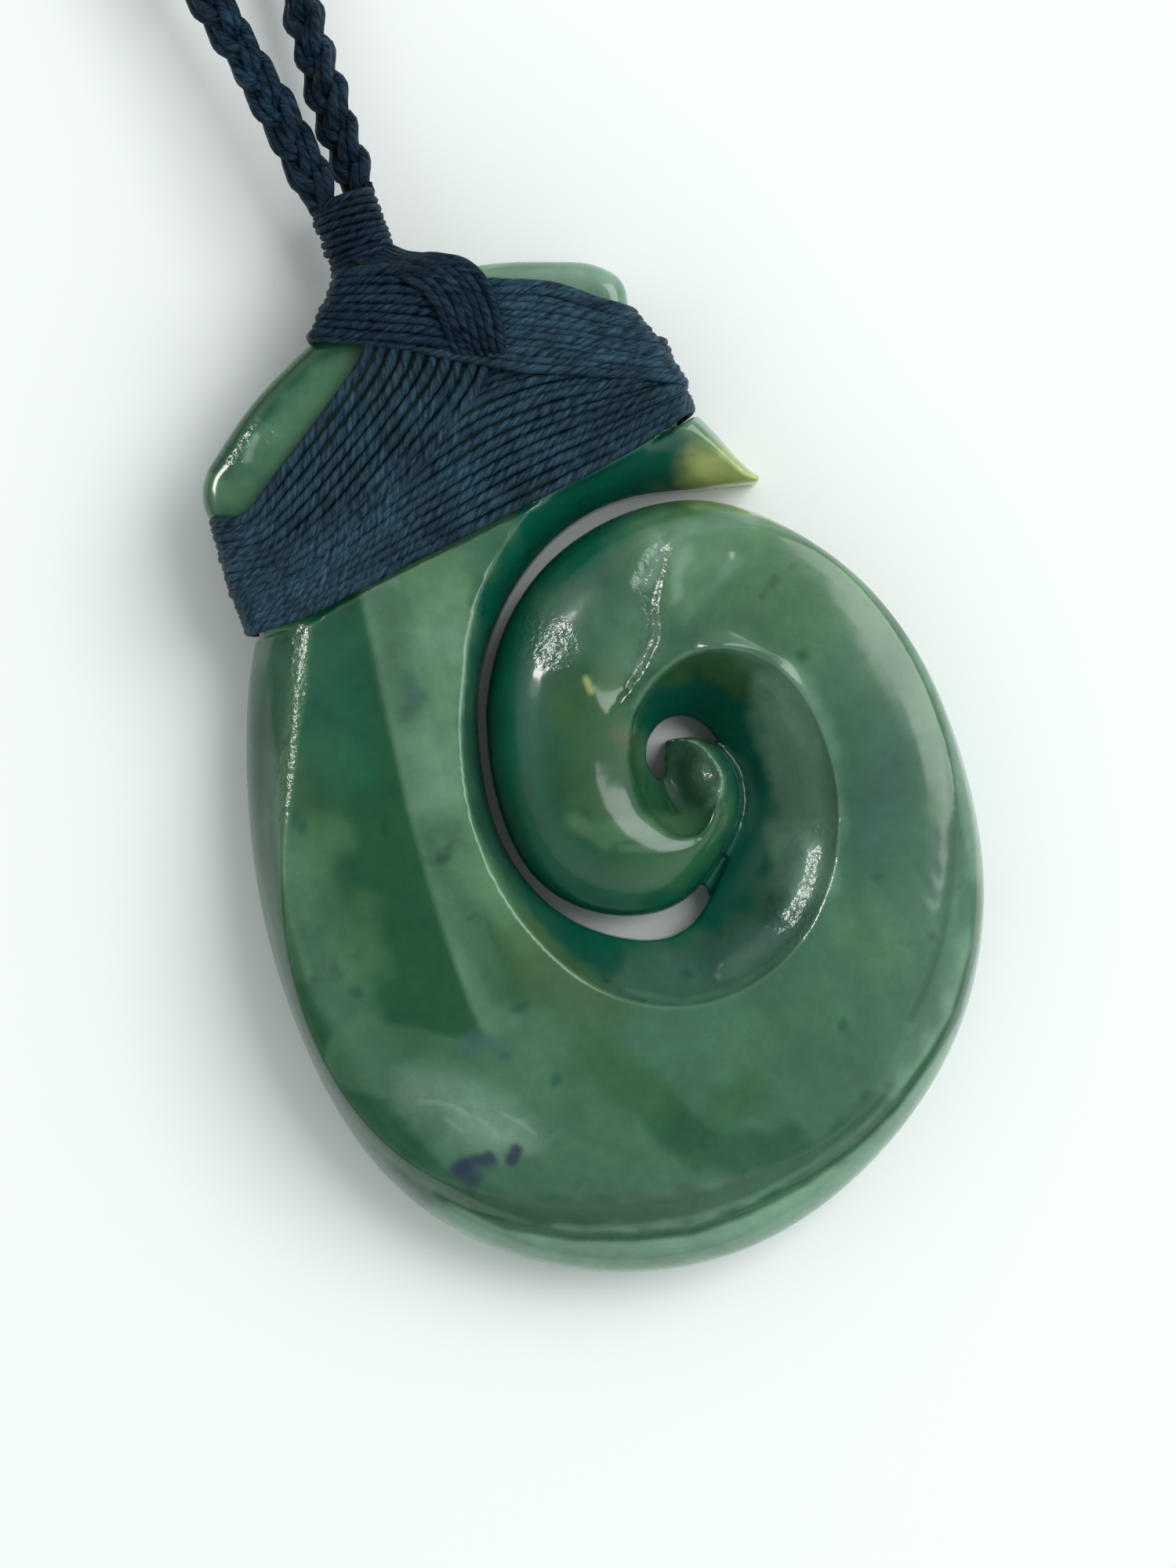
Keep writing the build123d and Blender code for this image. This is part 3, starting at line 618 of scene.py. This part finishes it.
# Polished nephrite: a dense green stone that light enters a little, under a wet gloss that a worn
# polish breaks up. Clouds of paler and darker green lie in it, with small dark grains. Sizes in mm
cloud_size = 7.0
mottle_size = 1.1
grain_size = 2.4
peel_size = 0.45
scuff_size = 0.7
peel_depth = 0.12 * MM
glow_depth = 1.0 * MM
nephrite = bpy.data.materials.new("polished_nephrite")
nephrite.use_nodes = True
tree = nephrite.node_tree
tree.nodes.clear()
painted = node(tree, "VertexColor", {"layer_name": "painted"})
spot = node(tree, "TexCoord").outputs["Object"]
cloud = node(
    tree, "TexNoise",
    {"Scale": 1000 / cloud_size, "Detail": 5.0, "Roughness": 0.6, "Distortion": 0.6}, Vector=spot,
)
cloud_tone = node(
    tree, "MapRange", {"From Min": 0.3, "From Max": 0.7, "To Min": 0.82, "To Max": 1.20},
    Value=cloud,
)
mottle = node(
    tree, "TexNoise", {"Scale": 1000 / mottle_size, "Detail": 4.0, "Roughness": 0.65}, Vector=spot,
)
mottle_tone = node(
    tree, "MapRange", {"From Min": 0.3, "From Max": 0.7, "To Min": 0.92, "To Max": 1.09},
    Value=mottle,
)
grain = node(tree, "TexNoise", {"Scale": 1000 / grain_size, "Detail": 2.0}, Vector=spot)
grain_tone = node(
    tree, "MapRange", {"From Min": 0.66, "From Max": 0.80, "To Min": 1.0, "To Max": 0.60},
    Value=grain,
)
tone = node(tree, "Math", {"operation": "MULTIPLY"}, Value=cloud_tone, input_1=mottle_tone)
depth = node(tree, "Math", {"operation": "MULTIPLY"}, Value=tone, input_1=grain_tone)
tinted = node(tree, "VectorMath", {"operation": "SCALE"}, Vector=painted, Scale=depth)
worn = node(tree, "Attribute", {"attribute_name": "worn"}).outputs["Fac"]
scuff = node(tree, "TexNoise", {"Scale": 1000 / scuff_size, "Detail": 5.0, "Roughness": 0.7}, Vector=spot)
scuffed = node(tree, "MapRange", {"From Min": 0.4, "From Max": 0.65}, Value=scuff)
dulled = node(tree, "Math", {"operation": "MULTIPLY"}, Value=scuffed, input_1=worn)
rough = node(tree, "MapRange", {"To Min": 0.26, "To Max": 0.42}, Value=dulled)
peel = node(tree, "TexNoise", {"Scale": 1000 / peel_size, "Detail": 3.0}, Vector=spot)
dent = node(tree, "MapRange", {"To Min": 0.02, "To Max": 0.8}, Value=worn)
bump = node(tree, "Bump", {"Distance": peel_depth}, Height=peel, Strength=dent)
gloss = node(
    tree, "BsdfPrincipled",
    {
        "IOR": 1.61,
        "Specular IOR Level": 0.10,
        "Subsurface Weight": 0.35,
        "Subsurface Radius": (0.8, 1.0, 0.7),
        "Subsurface Scale": glow_depth,
        "Coat Weight": 0.6,
        "Coat Roughness": 0.12,
        "Coat IOR": 1.6,
    },
    Base_Color=tinted, Roughness=rough, Normal=bump, Coat_Normal=bump,
)
node(tree, "OutputMaterial", Surface=gloss)
stone.data.materials.clear()
stone.data.materials.append(nephrite)
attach(stone, "root")
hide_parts("koru_stone")

# Thread: its radius, a little uneven along it in waves of a share, a rate per millimetre and a start
thread_radius = 0.36 * MM
thickness_waves = ((0.05, 1.3, 1), (0.03, 3.1, 2))

# Bend round an edge of the head, with the angles of its points in degrees, and cuts along the paths
edge_bend = 1.6 * MM
bend_angles = (0, 22, 45, 68)
guide_step = 0.5 * MM
guide_cuts = 60
thread_cuts = 90
least_cuts = 4
route_fineness = 16

# Play of hand-wound thread: how many waves lie along it, and their size on the face, behind the head
# and in the knot
play_waves = (1, 2, 3, 5)
front_play = 0.05 * MM
back_play = 0.10 * MM
knot_play = 0.04 * MM
play_start = 6.28

# How far each thread's pattern is moved on from that of the thread before, in millimetres
uv_step = 37.3


def removed(holder):
    """Deletes an object that holds a curve, and its curve."""
    curve = holder.data
    bpy.data.objects.remove(holder)
    bpy.data.curves.remove(curve)


def spline_points(route):
    """Points along the smooth NURBS spline whose control points are a route."""
    curve = bpy.data.curves.new("route", "CURVE")
    curve.dimensions = "3D"
    curve.resolution_u = route_fineness
    spline = curve.splines.new("NURBS")
    spline.points.add(len(route) - 1)
    for control, point in zip(spline.points, route):
        control.co = (*point, 1.0)
    spline.order_u = 3
    spline.use_endpoint_u = True
    holder = bpy.data.objects.new("route", curve)
    mesh = bpy.data.meshes.new_from_object(holder)
    points = np.array([vertex.co for vertex in mesh.vertices])
    bpy.data.meshes.remove(mesh)
    removed(holder)
    return points


def travelled(points):
    """Distance along a path at each of its points."""
    runs = np.linalg.norm(np.diff(points, axis=0), axis=1)
    return np.concatenate([[0.0], np.cumsum(runs)])


def at_distances(points, distances):
    """Points of a path at distances along it."""
    along = travelled(points)
    return np.stack([np.interp(distances, along, points[:, axis]) for axis in range(points.shape[1])], axis=1)


def guide(route):
    """Smooth level path through a route given in millimetres, cut in a fixed number of even steps."""
    points = spline_points([Vector((x, y, 0)) * MM for x, y in route])[:, :2]
    return at_distances(points, np.linspace(0, travelled(points)[-1], guide_cuts))


def looped(front, back, top, bottom):
    """Closed path of a thread over the front, round the far edge, and back under to the near edge."""
    path = []
    corner = [math.radians(angle) for angle in bend_angles]
    for level, height, side in ((front, top, -1), (back, bottom, 1)):
        length = travelled(level)[-1]
        cuts = max(int(length / guide_step), least_cuts)
        middle = np.linspace(edge_bend, length - edge_bend, cuts)
        near = [edge_bend * (1 - math.cos(angle)) for angle in corner]
        away = np.concatenate([near, middle, [length - step for step in reversed(near)]])
        drop = [edge_bend * (1 - math.sin(angle)) for angle in corner]
        drops = np.concatenate([drop, np.zeros(cuts), drop[::-1]])
        level = at_distances(level, away)
        heights = np.asarray(height(away / length)) + side * drops
        path.append(np.column_stack([level, heights]))
    return np.concatenate(path)


def wound(name, threads, closed=True, roundness=2):
    """One mesh of round threads. Each thread is a path and the radius along it, and its UV map runs in
    millimetres along it and once round it."""
    joined = bmesh.new()
    for index, (points, radii) in enumerate(threads):
        curve = bpy.data.curves.new(name, "CURVE")
        curve.dimensions = "3D"
        curve.bevel_depth = 1.0
        curve.bevel_resolution = roundness
        curve.use_fill_caps = not closed
        spline = curve.splines.new("POLY")
        spline.points.add(len(points) - 1)
        spline.use_cyclic_u = closed
        for control, point, radius in zip(spline.points, points, radii):
            control.co = (*point, 1.0)
            control.radius = radius
        holder = bpy.data.objects.new(name, curve)
        mesh = bpy.data.meshes.new_from_object(holder)
        along = travelled(np.concatenate([points, points[:1]]) if closed else points) / MM
        layer = mesh.uv_layers[0].data
        places = np.empty(len(layer) * 2, dtype=np.float32)
        layer.foreach_get("uv", places)
        places[0::2] = np.interp(places[0::2] * (len(along) - 1), range(len(along)), along) + index * uv_step
        layer.foreach_set("uv", places)
        joined.from_mesh(mesh)
        bpy.data.meshes.remove(mesh)
        removed(holder)
    mesh = bpy.data.meshes.new(name)
    for face in joined.faces:
        face.smooth = True
    joined.to_mesh(mesh)
    joined.free()
    return object_from(name, mesh)


def fan(first, last, count):
    """Level paths spread evenly from a first guide to a last one."""
    start = guide(first)
    end = guide(last)
    return [start + (end - start) * share for share in np.linspace(0, 1, count)]


def uneven(points, amount):
    """A path with slow waves of a small height, as hand-wound thread has."""
    along = travelled(points)
    total = along[-1]
    moved = points.copy()
    for axis in range(points.shape[1]):
        for wave in play_waves:
            size = rng.normal() * amount / wave
            start = rng.uniform(0, play_start)
            moved[:, axis] += size * np.sin(2 * math.pi * wave * along / total + start)
    return moved


# One seed for all the play, drawn from in the order in which the threads are wound
rng = np.random.default_rng(7)
head_low, head_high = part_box("lower_lashing")
top_level = head_high.z - thread_radius
bottom_level = head_low.z + thread_radius

# Layers of the two lashings: how many threads, how far they lie over the lowest ones on the face, how
# much higher every second one lies, and the same for their far ends, in steps over three threads
Layer = namedtuple("Layer", "count lift step far_lift far_step")
shallow_layer = Layer(11, 0.0, 0.0, 0.0, 0.25 * MM)
steep_layer = Layer(10, 0.12 * MM, 0.08 * MM, 0.30 * MM, 0.0)
beneath_layer = Layer(3, -0.30 * MM, 0.0, 0.0, 0.0)
band_layer = Layer(12, 0.45 * MM, 0.10 * MM, 0.0, 0.0)
beneath_gap = 0.55 * MM

# First and last thread of each layer, as level paths across the face
steep_first = [
    (-17.6, 29.6), (-15.9, 28.6), (-14.0, 29.7), (-11.3, 31.6), (-8.6, 33.2), (-6.6, 34.5), (-3.8, 36.6),
    (-2.8, 39.0), (-2.6, 41.2),
]
steep_last = [
    (-18.0, 24.6), (-14.6, 23.9), (-10.2, 24.8), (-5.7, 27.0), (-1.6, 29.6), (2.0, 31.8), (3.9, 34.0),
    (3.4, 37.5), (2.0, 41.1),
]
shallow_first = [
    (-17.9, 21.9), (-14.1, 21.6), (-11.1, 22.1), (-5.2, 22.8), (3.0, 23.8), (11.3, 24.8), (15.0, 25.9),
]
shallow_last = [
    (-17.9, 25.4), (-11.8, 26.2), (-5.2, 28.9), (1.2, 31.2), (6.7, 31.0), (11.9, 29.8), (14.8, 29.0),
]
band_first = [
    (-0.8, 41.2), (1.9, 39.4), (5.3, 38.0), (8.3, 37.0), (9.7, 36.1), (11.2, 34.9), (12.6, 33.9),
    (13.6, 33.1),
]
band_last = [
    (-7.2, 38.9), (-4.1, 37.4), (-1.1, 35.9), (0.7, 34.7), (3.5, 33.2), (6.0, 31.9), (10.8, 29.8),
    (15.2, 27.6),
]


def level_of(base, rise=0.0):
    """Height along a thread: a base and a rise towards its far end."""
    return lambda share: base + rise * np.clip(share * 2 - 1, 0, 1)


def radius_along(points):
    """Thread radius along a path, a little uneven."""
    along = travelled(points) / MM
    phase = rng.uniform(0, play_start)
    share = 1
    for size, rate, start in thickness_waves:
        share = share + size * np.sin(along * rate + phase * start)
    return thread_radius * share


def lashing(paths, layer):
    """Threads of one layer, each wound once round the head of the stone along a level path."""
    threads = []
    for index, path in enumerate(paths):
        lift = layer.lift + layer.step * (index % 2)
        far_lift = layer.far_lift + layer.far_step * (index % 3)
        front = uneven(path, front_play)
        back = uneven(path[::-1], back_play)
        loop = looped(front, back, level_of(top_level + lift, far_lift), level_of(bottom_level))
        threads.append((loop, radius_along(loop)))
    return threads


shallow = fan(shallow_first, shallow_last, shallow_layer.count)
steep = fan(steep_last, steep_first, steep_layer.count)
beneath = [shallow[-1] + np.array([0.0, beneath_gap * step]) for step in range(1, beneath_layer.count + 1)]
lower = lashing(shallow, shallow_layer) + lashing(steep, steep_layer) + lashing(beneath, beneath_layer)
lower_lashing = wound("lower_lashing_threads", lower)

upper = lashing(fan(band_first, band_last, band_layer.count), band_layer)
upper_lashing = wound("upper_lashing_threads", upper)

# Knot: body threads that come round the left edge of the head, under nested turns from the neck
knot_body_count = 8
knot_turn_count = 7
knot_body_first = [
    (-3.0, 41.2, 2.7), (-4.2, 42.1, 2.9), (-4.2, 42.1, 5.5), (-4.2, 42.1, 8.9), (-3.8, 42.1, 9.7),
    (-2.2, 41.7, 10.0), (0.3, 40.9, 10.0), (2.1, 39.7, 9.8), (3.4, 37.9, 9.1),
]
knot_body_last = [
    (-6.0, 38.0, 2.7), (-7.1, 39.0, 2.9), (-7.1, 39.0, 5.5), (-7.1, 39.0, 8.4), (-6.6, 39.0, 9.3),
    (-4.0, 37.8, 9.7), (-0.9, 36.4, 9.7), (1.5, 35.2, 9.5), (3.6, 34.0, 8.9),
]
knot_turn_inner = [
    (-3.0, 43.4, 5.6), (-2.2, 42.2, 8.0), (-0.7, 41.2, 9.9), (0.5, 40.2, 10.3), (1.2, 39.0, 10.3),
    (1.5, 37.8, 10.3), (1.6, 36.8, 10.2), (1.5, 35.7, 9.9), (1.6, 34.2, 9.0),
]
knot_turn_outer = [
    (-0.6, 43.2, 5.2), (1.0, 41.6, 7.8), (2.6, 40.9, 9.7), (4.0, 40.1, 10.2), (4.7, 39.0, 10.3),
    (4.9, 37.7, 10.3), (4.9, 36.4, 10.2), (4.7, 34.9, 9.8), (4.3, 33.2, 8.9),
]


def spread(first, last, count):
    """Paths spread evenly from one smooth path to another, given in millimetres."""
    start, end = (spline_points([Vector(point) * MM for point in route]) for route in (first, last))
    cuts = np.linspace(0, 1, thread_cuts)
    start, end = (at_distances(path, cuts * travelled(path)[-1]) for path in (start, end))
    return [start + (end - start) * share for share in np.linspace(0, 1, count)]


knot = spread(knot_body_first, knot_body_last, knot_body_count)
knot += spread(knot_turn_inner, knot_turn_outer, knot_turn_count)
knot = [uneven(path, knot_play) for path in knot]
knot_turn = wound("knot_threads", [(path, radius_along(path)) for path in knot], closed=False)

# Whippings: pitch and thread of each, and the core under the coil, whose radius is less than the
# outer one by a number of thread radii
neck_pitch = 0.52 * MM
neck_thread = 0.30 * MM
closure_pitch = 0.58 * MM
closure_thread = 0.31 * MM
core_sides = 32
core_depth = 1.6
core_short = 0.8 * MM

# Play of a coil, in waves of a size, a rate per turn and a start, and the lean of its turns
coil_cuts = 22
coil_waves = ((0.06 * MM, 1.9, 0.7), (0.04 * MM, 4.3, 0.0))
coil_lean = 0.10 * MM
coil_lean_rate = 0.8
coil_inset = 0.12 * MM


def coil(start, direction, length, outer, pitch, radius):
    """Path of one thread wound round a line, with a little play in each turn."""
    side = Vector((direction.y, direction.x, 0))
    up = Vector((0, 0, 1))
    turns = int(length / pitch)
    points = []
    for step in range(turns * coil_cuts + 1):
        turn = step / coil_cuts
        angle = turn * 2 * math.pi
        play = sum(size * math.sin(turn * rate + first) for size, rate, first in coil_waves)
        lean = coil_lean * math.sin(angle + turn * coil_lean_rate)
        reach = outer - radius + play - coil_inset
        along = radius + (length - 2 * radius) * turn / turns + lean
        off = side * (math.cos(angle) * reach)
        points.append(start + direction * along + off + up * (math.sin(angle) * reach))
    return np.array(points)


def whipping(name, start, direction, length, outer, pitch, radius):
    """A coil of thread over a plain core."""
    path = coil(start, direction, length, outer, pitch, radius)
    thing = wound(name, [(path, np.full(len(path), radius))], closed=False, roundness=1)
    core = bmesh.new()
    core.from_mesh(thing.data)
    core_radius = outer - core_depth * radius
    made = bmesh.ops.create_cone(
        core, cap_ends=True, segments=core_sides, radius1=core_radius, radius2=core_radius,
        depth=length - core_short,
    )
    turn = Vector((0, 0, 1)).rotation_difference(direction).to_matrix()
    bmesh.ops.rotate(core, verts=made["verts"], cent=(0, 0, 0), matrix=turn)
    bmesh.ops.translate(core, verts=made["verts"], vec=start + direction * length / 2)
    core.to_mesh(thing.data)
    core.free()
    return thing


neck_low, neck_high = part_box("neck_whipping")
neck_radius = (neck_high.x - neck_low.x) / 2
neck_start = Vector((neck_low.x + neck_radius, neck_low.y, neck_low.z + neck_radius))
neck = whipping(
    "neck_whipping_thread", neck_start, Vector((0, 1, 0)), neck_high.y - neck_low.y,
    neck_radius, neck_pitch, neck_thread,
)
closure_low, closure_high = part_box("closure_whipping")
closure_radius = (closure_high.y - closure_low.y) / 2
closure_start = Vector((closure_low.x, closure_low.y + closure_radius, closure_low.z + closure_radius))
closure = whipping(
    "closure_whipping_thread", closure_start, Vector((1, 0, 0)), closure_high.x - closure_low.x,
    closure_radius, closure_pitch, closure_thread,
)

# Plait: cuts along it, the share of its width that the ends narrow to, how far its strands swing and
# rise, how long they linger at the edges, and the length over which the threads of a strand turn
plait_step = 0.42 * MM
plait_taper = 1.8 * MM
plait_end_share = 0.6
plait_reach = 0.82 * MM
plait_linger = 0.13
plait_rise = 0.42 * MM
plait_lay = 14.0 * MM
strand_reach = 0.38 * MM
plait_thread_radius = 0.42 * MM
strand_count = 3
ply_count = 3

# Play of a plait: waves of its phase, with a size, a length and a start, its slow sway about its
# line, and the unevenness of its threads
phase_waves = ((0.30, 13.7 * MM, 0.0), (0.18, 5.3 * MM, 1.0))
plait_sway = 0.3
plait_sway_length = 31.0 * MM
ply_play = 0.08
ply_play_length = 1.9 * MM

# Length of one round of each plait, and the roll of its flat side in radians
left_repeat = 8.0 * MM
left_roll = 0.15
right_repeat = 7.8 * MM
right_roll = 0.55

# Routes of the braids, the ones of the part's source: across, onward and the share of the exit's
# height. Each braid starts inside the neck whipping and ends inside the closure
braid_lift_end = 1.65 * MM
neck_inside = Vector((0, -0.9, 0)) * MM
closure_inside = Vector((1.4, 0, 0)) * MM
closure_run_out = 0.3 * MM
left_exit = Vector((-3.505, 48.0, 5.9)) * MM
right_exit = Vector((-0.905, 48.0, 3.5)) * MM
left_route = [
    (0, 0, 1), (-0.5, 4.4, 0.96), (-1.2, 9.4, 0.88), (-2.8, 16.6, 0.74), (-6.5, 27.6, 0.52),
    (-13.6, 42.6, 0.26), (-26.6, 61.6, 0.07), (-45.1, 84.1, 0), (-63.6, 112.1, 0), (-73.1, 146.1, 0),
    (-69.6, 181.1, 0), (-52.6, 208.1, 0), (-28.6, 222.8, 0), (-7.0, 224.7, 0),
]
right_route = [
    (0, 0, 1), (0.1, 4.7, 0.96), (0.4, 9.9, 0.88), (1.1, 17.6, 0.74), (4.0, 29.1, 0.50),
    (10.8, 44.6, 0.22), (23.5, 63.6, 0.05), (42.0, 86.1, 0), (60.5, 114.1, 0), (70.5, 147.1, 0),
    (67.5, 181.6, 0), (50.5, 208.1, 0), (27.5, 222.6, 0),
]


def braid_route(exit_point, route):
    """Control points of a braid, from its exit and its route."""
    points = []
    for across, onward, lift in route:
        height = braid_lift_end + lift * (exit_point.z - braid_lift_end)
        points.append(Vector((exit_point.x + across * MM, exit_point.y + onward * MM, height)))
    return points


def plaited(name, centre, repeat, roll):
    """Flat plait of three strands, each of three threads side by side."""
    along = travelled(centre)
    places = np.linspace(0, along[-1], int(along[-1] / plait_step))
    line = at_distances(centre, places)
    forward = np.gradient(line, axis=0)
    forward /= np.linalg.norm(forward, axis=1)[:, None]
    up = np.array([0, 0, 1.0]) - forward * forward[:, 2:3]
    up /= np.linalg.norm(up, axis=1)[:, None]
    side = np.cross(forward, up)
    ends = np.minimum(places, along[-1] - places)
    taper = plait_end_share + (1 - plait_end_share) * eased(ends / plait_taper)
    drift = sum(size * np.sin(places / run + first) for size, run, first in phase_waves)
    turned = roll + plait_sway * np.sin(places / plait_sway_length)
    threads = []
    for strand in range(strand_count):
        phase = 2 * math.pi * (places / repeat + strand / strand_count) + drift
        across = plait_reach * (np.sin(phase) + plait_linger * np.sin(3 * phase))
        rise = plait_rise * np.sin(2 * phase)
        for ply in range(ply_count):
            angle = ply * math.pi * 2 / ply_count + places / plait_lay + strand
            wide = (across + strand_reach * np.cos(angle)) * taper
            high = (rise + strand_reach * np.sin(angle)) * taper
            right = wide * np.cos(turned) - high * np.sin(turned)
            above = wide * np.sin(turned) + high * np.cos(turned)
            path = line + side * right[:, None] + up * above[:, None]
            bulge = ply_play * np.sin(places / ply_play_length + 2 * ply + strand)
            threads.append((path, plait_thread_radius * (1 + bulge)))
    return wound(name, threads, closed=False, roundness=1)


left_points = braid_route(left_exit, left_route)
right_points = braid_route(right_exit, right_route)
right_points.append(Vector((closure_high.x + closure_run_out, closure_start.y, braid_lift_end)))
left_centre = spline_points([left_exit + neck_inside, *left_points, left_points[-1] + closure_inside])
right_centre = spline_points([right_exit + neck_inside, *right_points, right_points[-1] - closure_inside])
left_braid = plaited("left_braid_strands", left_centre, left_repeat, left_roll)
right_braid = plaited("right_braid_strands", right_centre, right_repeat, right_roll)

# Waxed thread: twisted polyester soaked in wax, so it is nearly black with a blue cast, satin rather
# than matt, and each ply shows faintly as a slanting ridge. Sizes in mm, and the height of the wax
# flecks against that of a ridge
thread_lay = 2.4
thread_plies = 3
wax_patch = 3.5
fleck_stretch = (2.2, 1.4, 1.0)
fleck_height = 7.0
ridge_depth = 0.035 * MM
hollow_level = 0.42
crown_level = 0.66
wax_sheen = "#9fbccb"


def waxed(name, hollow_tint, crown_tint, specular):
    """Material of waxed thread, on the thread's own UV map in millimetres."""
    material = bpy.data.materials.new(name)
    material.use_nodes = True
    tree = material.node_tree
    shader = tree.nodes["Principled BSDF"]
    place = node(tree, "TexCoord")
    parts = node(tree, "SeparateXYZ", Vector=place.outputs["UV"])
    slant = node(
        tree, "Math", {"operation": "MULTIPLY_ADD", 1: thread_lay},
        Value=parts.outputs["Y"], input_2=parts.outputs["X"],
    )
    ply_rate = 2 * math.pi * thread_plies / thread_lay
    phase = node(tree, "Math", {"operation": "MULTIPLY", 1: ply_rate}, Value=slant)
    ridge = node(tree, "Math", {"operation": "SINE"}, Value=phase)
    twisted = node(tree, "CombineXYZ", X=slant, Y=parts.outputs["Y"])
    stretched = node(tree, "Mapping", {"Scale": fleck_stretch}, Vector=twisted)
    fleck = node(tree, "TexNoise", {"Scale": 1.0, "Detail": 5.0, "Roughness": 0.7}, Vector=stretched)
    height = node(tree, "Math", {"operation": "MULTIPLY_ADD", 1: fleck_height}, Value=fleck, input_2=ridge)
    bump = node(tree, "Bump", {"Strength": 0.6, "Distance": ridge_depth}, Height=height)
    tone = node(tree, "ValToRGB", Fac=fleck)
    tone.color_ramp.elements[0].position = hollow_level
    tone.color_ramp.elements[0].color = linear(hollow_tint)
    tone.color_ramp.elements[1].position = crown_level
    tone.color_ramp.elements[1].color = linear(crown_tint)
    patch = node(
        tree, "TexNoise", {"Scale": 1000 / wax_patch, "Detail": 3.0},
        Vector=place.outputs["Object"],
    )
    wax = node(
        tree, "MapRange", {"From Min": 0.35, "From Max": 0.65, "To Min": 0.55, "To Max": 1.2},
        Value=patch,
    )
    waxed_tone = node(tree, "VectorMath", {"operation": "SCALE"}, Vector=tone, Scale=wax)
    tree.links.new(waxed_tone.outputs["Vector"], shader.inputs["Base Color"])
    tree.links.new(bump.outputs["Normal"], shader.inputs["Normal"])
    shader.inputs["Roughness"].default_value = 0.5
    shader.inputs["Specular IOR Level"].default_value = specular
    shader.inputs["Specular Tint"].default_value = linear(wax_sheen)
    return material


# The knot, the whippings and the braids get a darker copy of the same waxed thread, which is painted shade
lashing_finish = waxed("waxed_thread", "#0b1c2c", "#365260", 0.25)
shaded_thread_finish = waxed("waxed_thread_shaded", "#020b1a", "#253e50", 0.18)

thread_pieces = {
    "lower_lashing": lower_lashing, "upper_lashing": upper_lashing, "knot_turn": knot_turn,
    "neck_whipping": neck, "closure_whipping": closure, "left_braid": left_braid, "right_braid": right_braid,
}
for cad_name, thing in thread_pieces.items():
    thing.data.materials.append(lashing_finish if cad_name.endswith("lashing") else shaded_thread_finish)
    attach(thing, "root")
    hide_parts(cad_name)
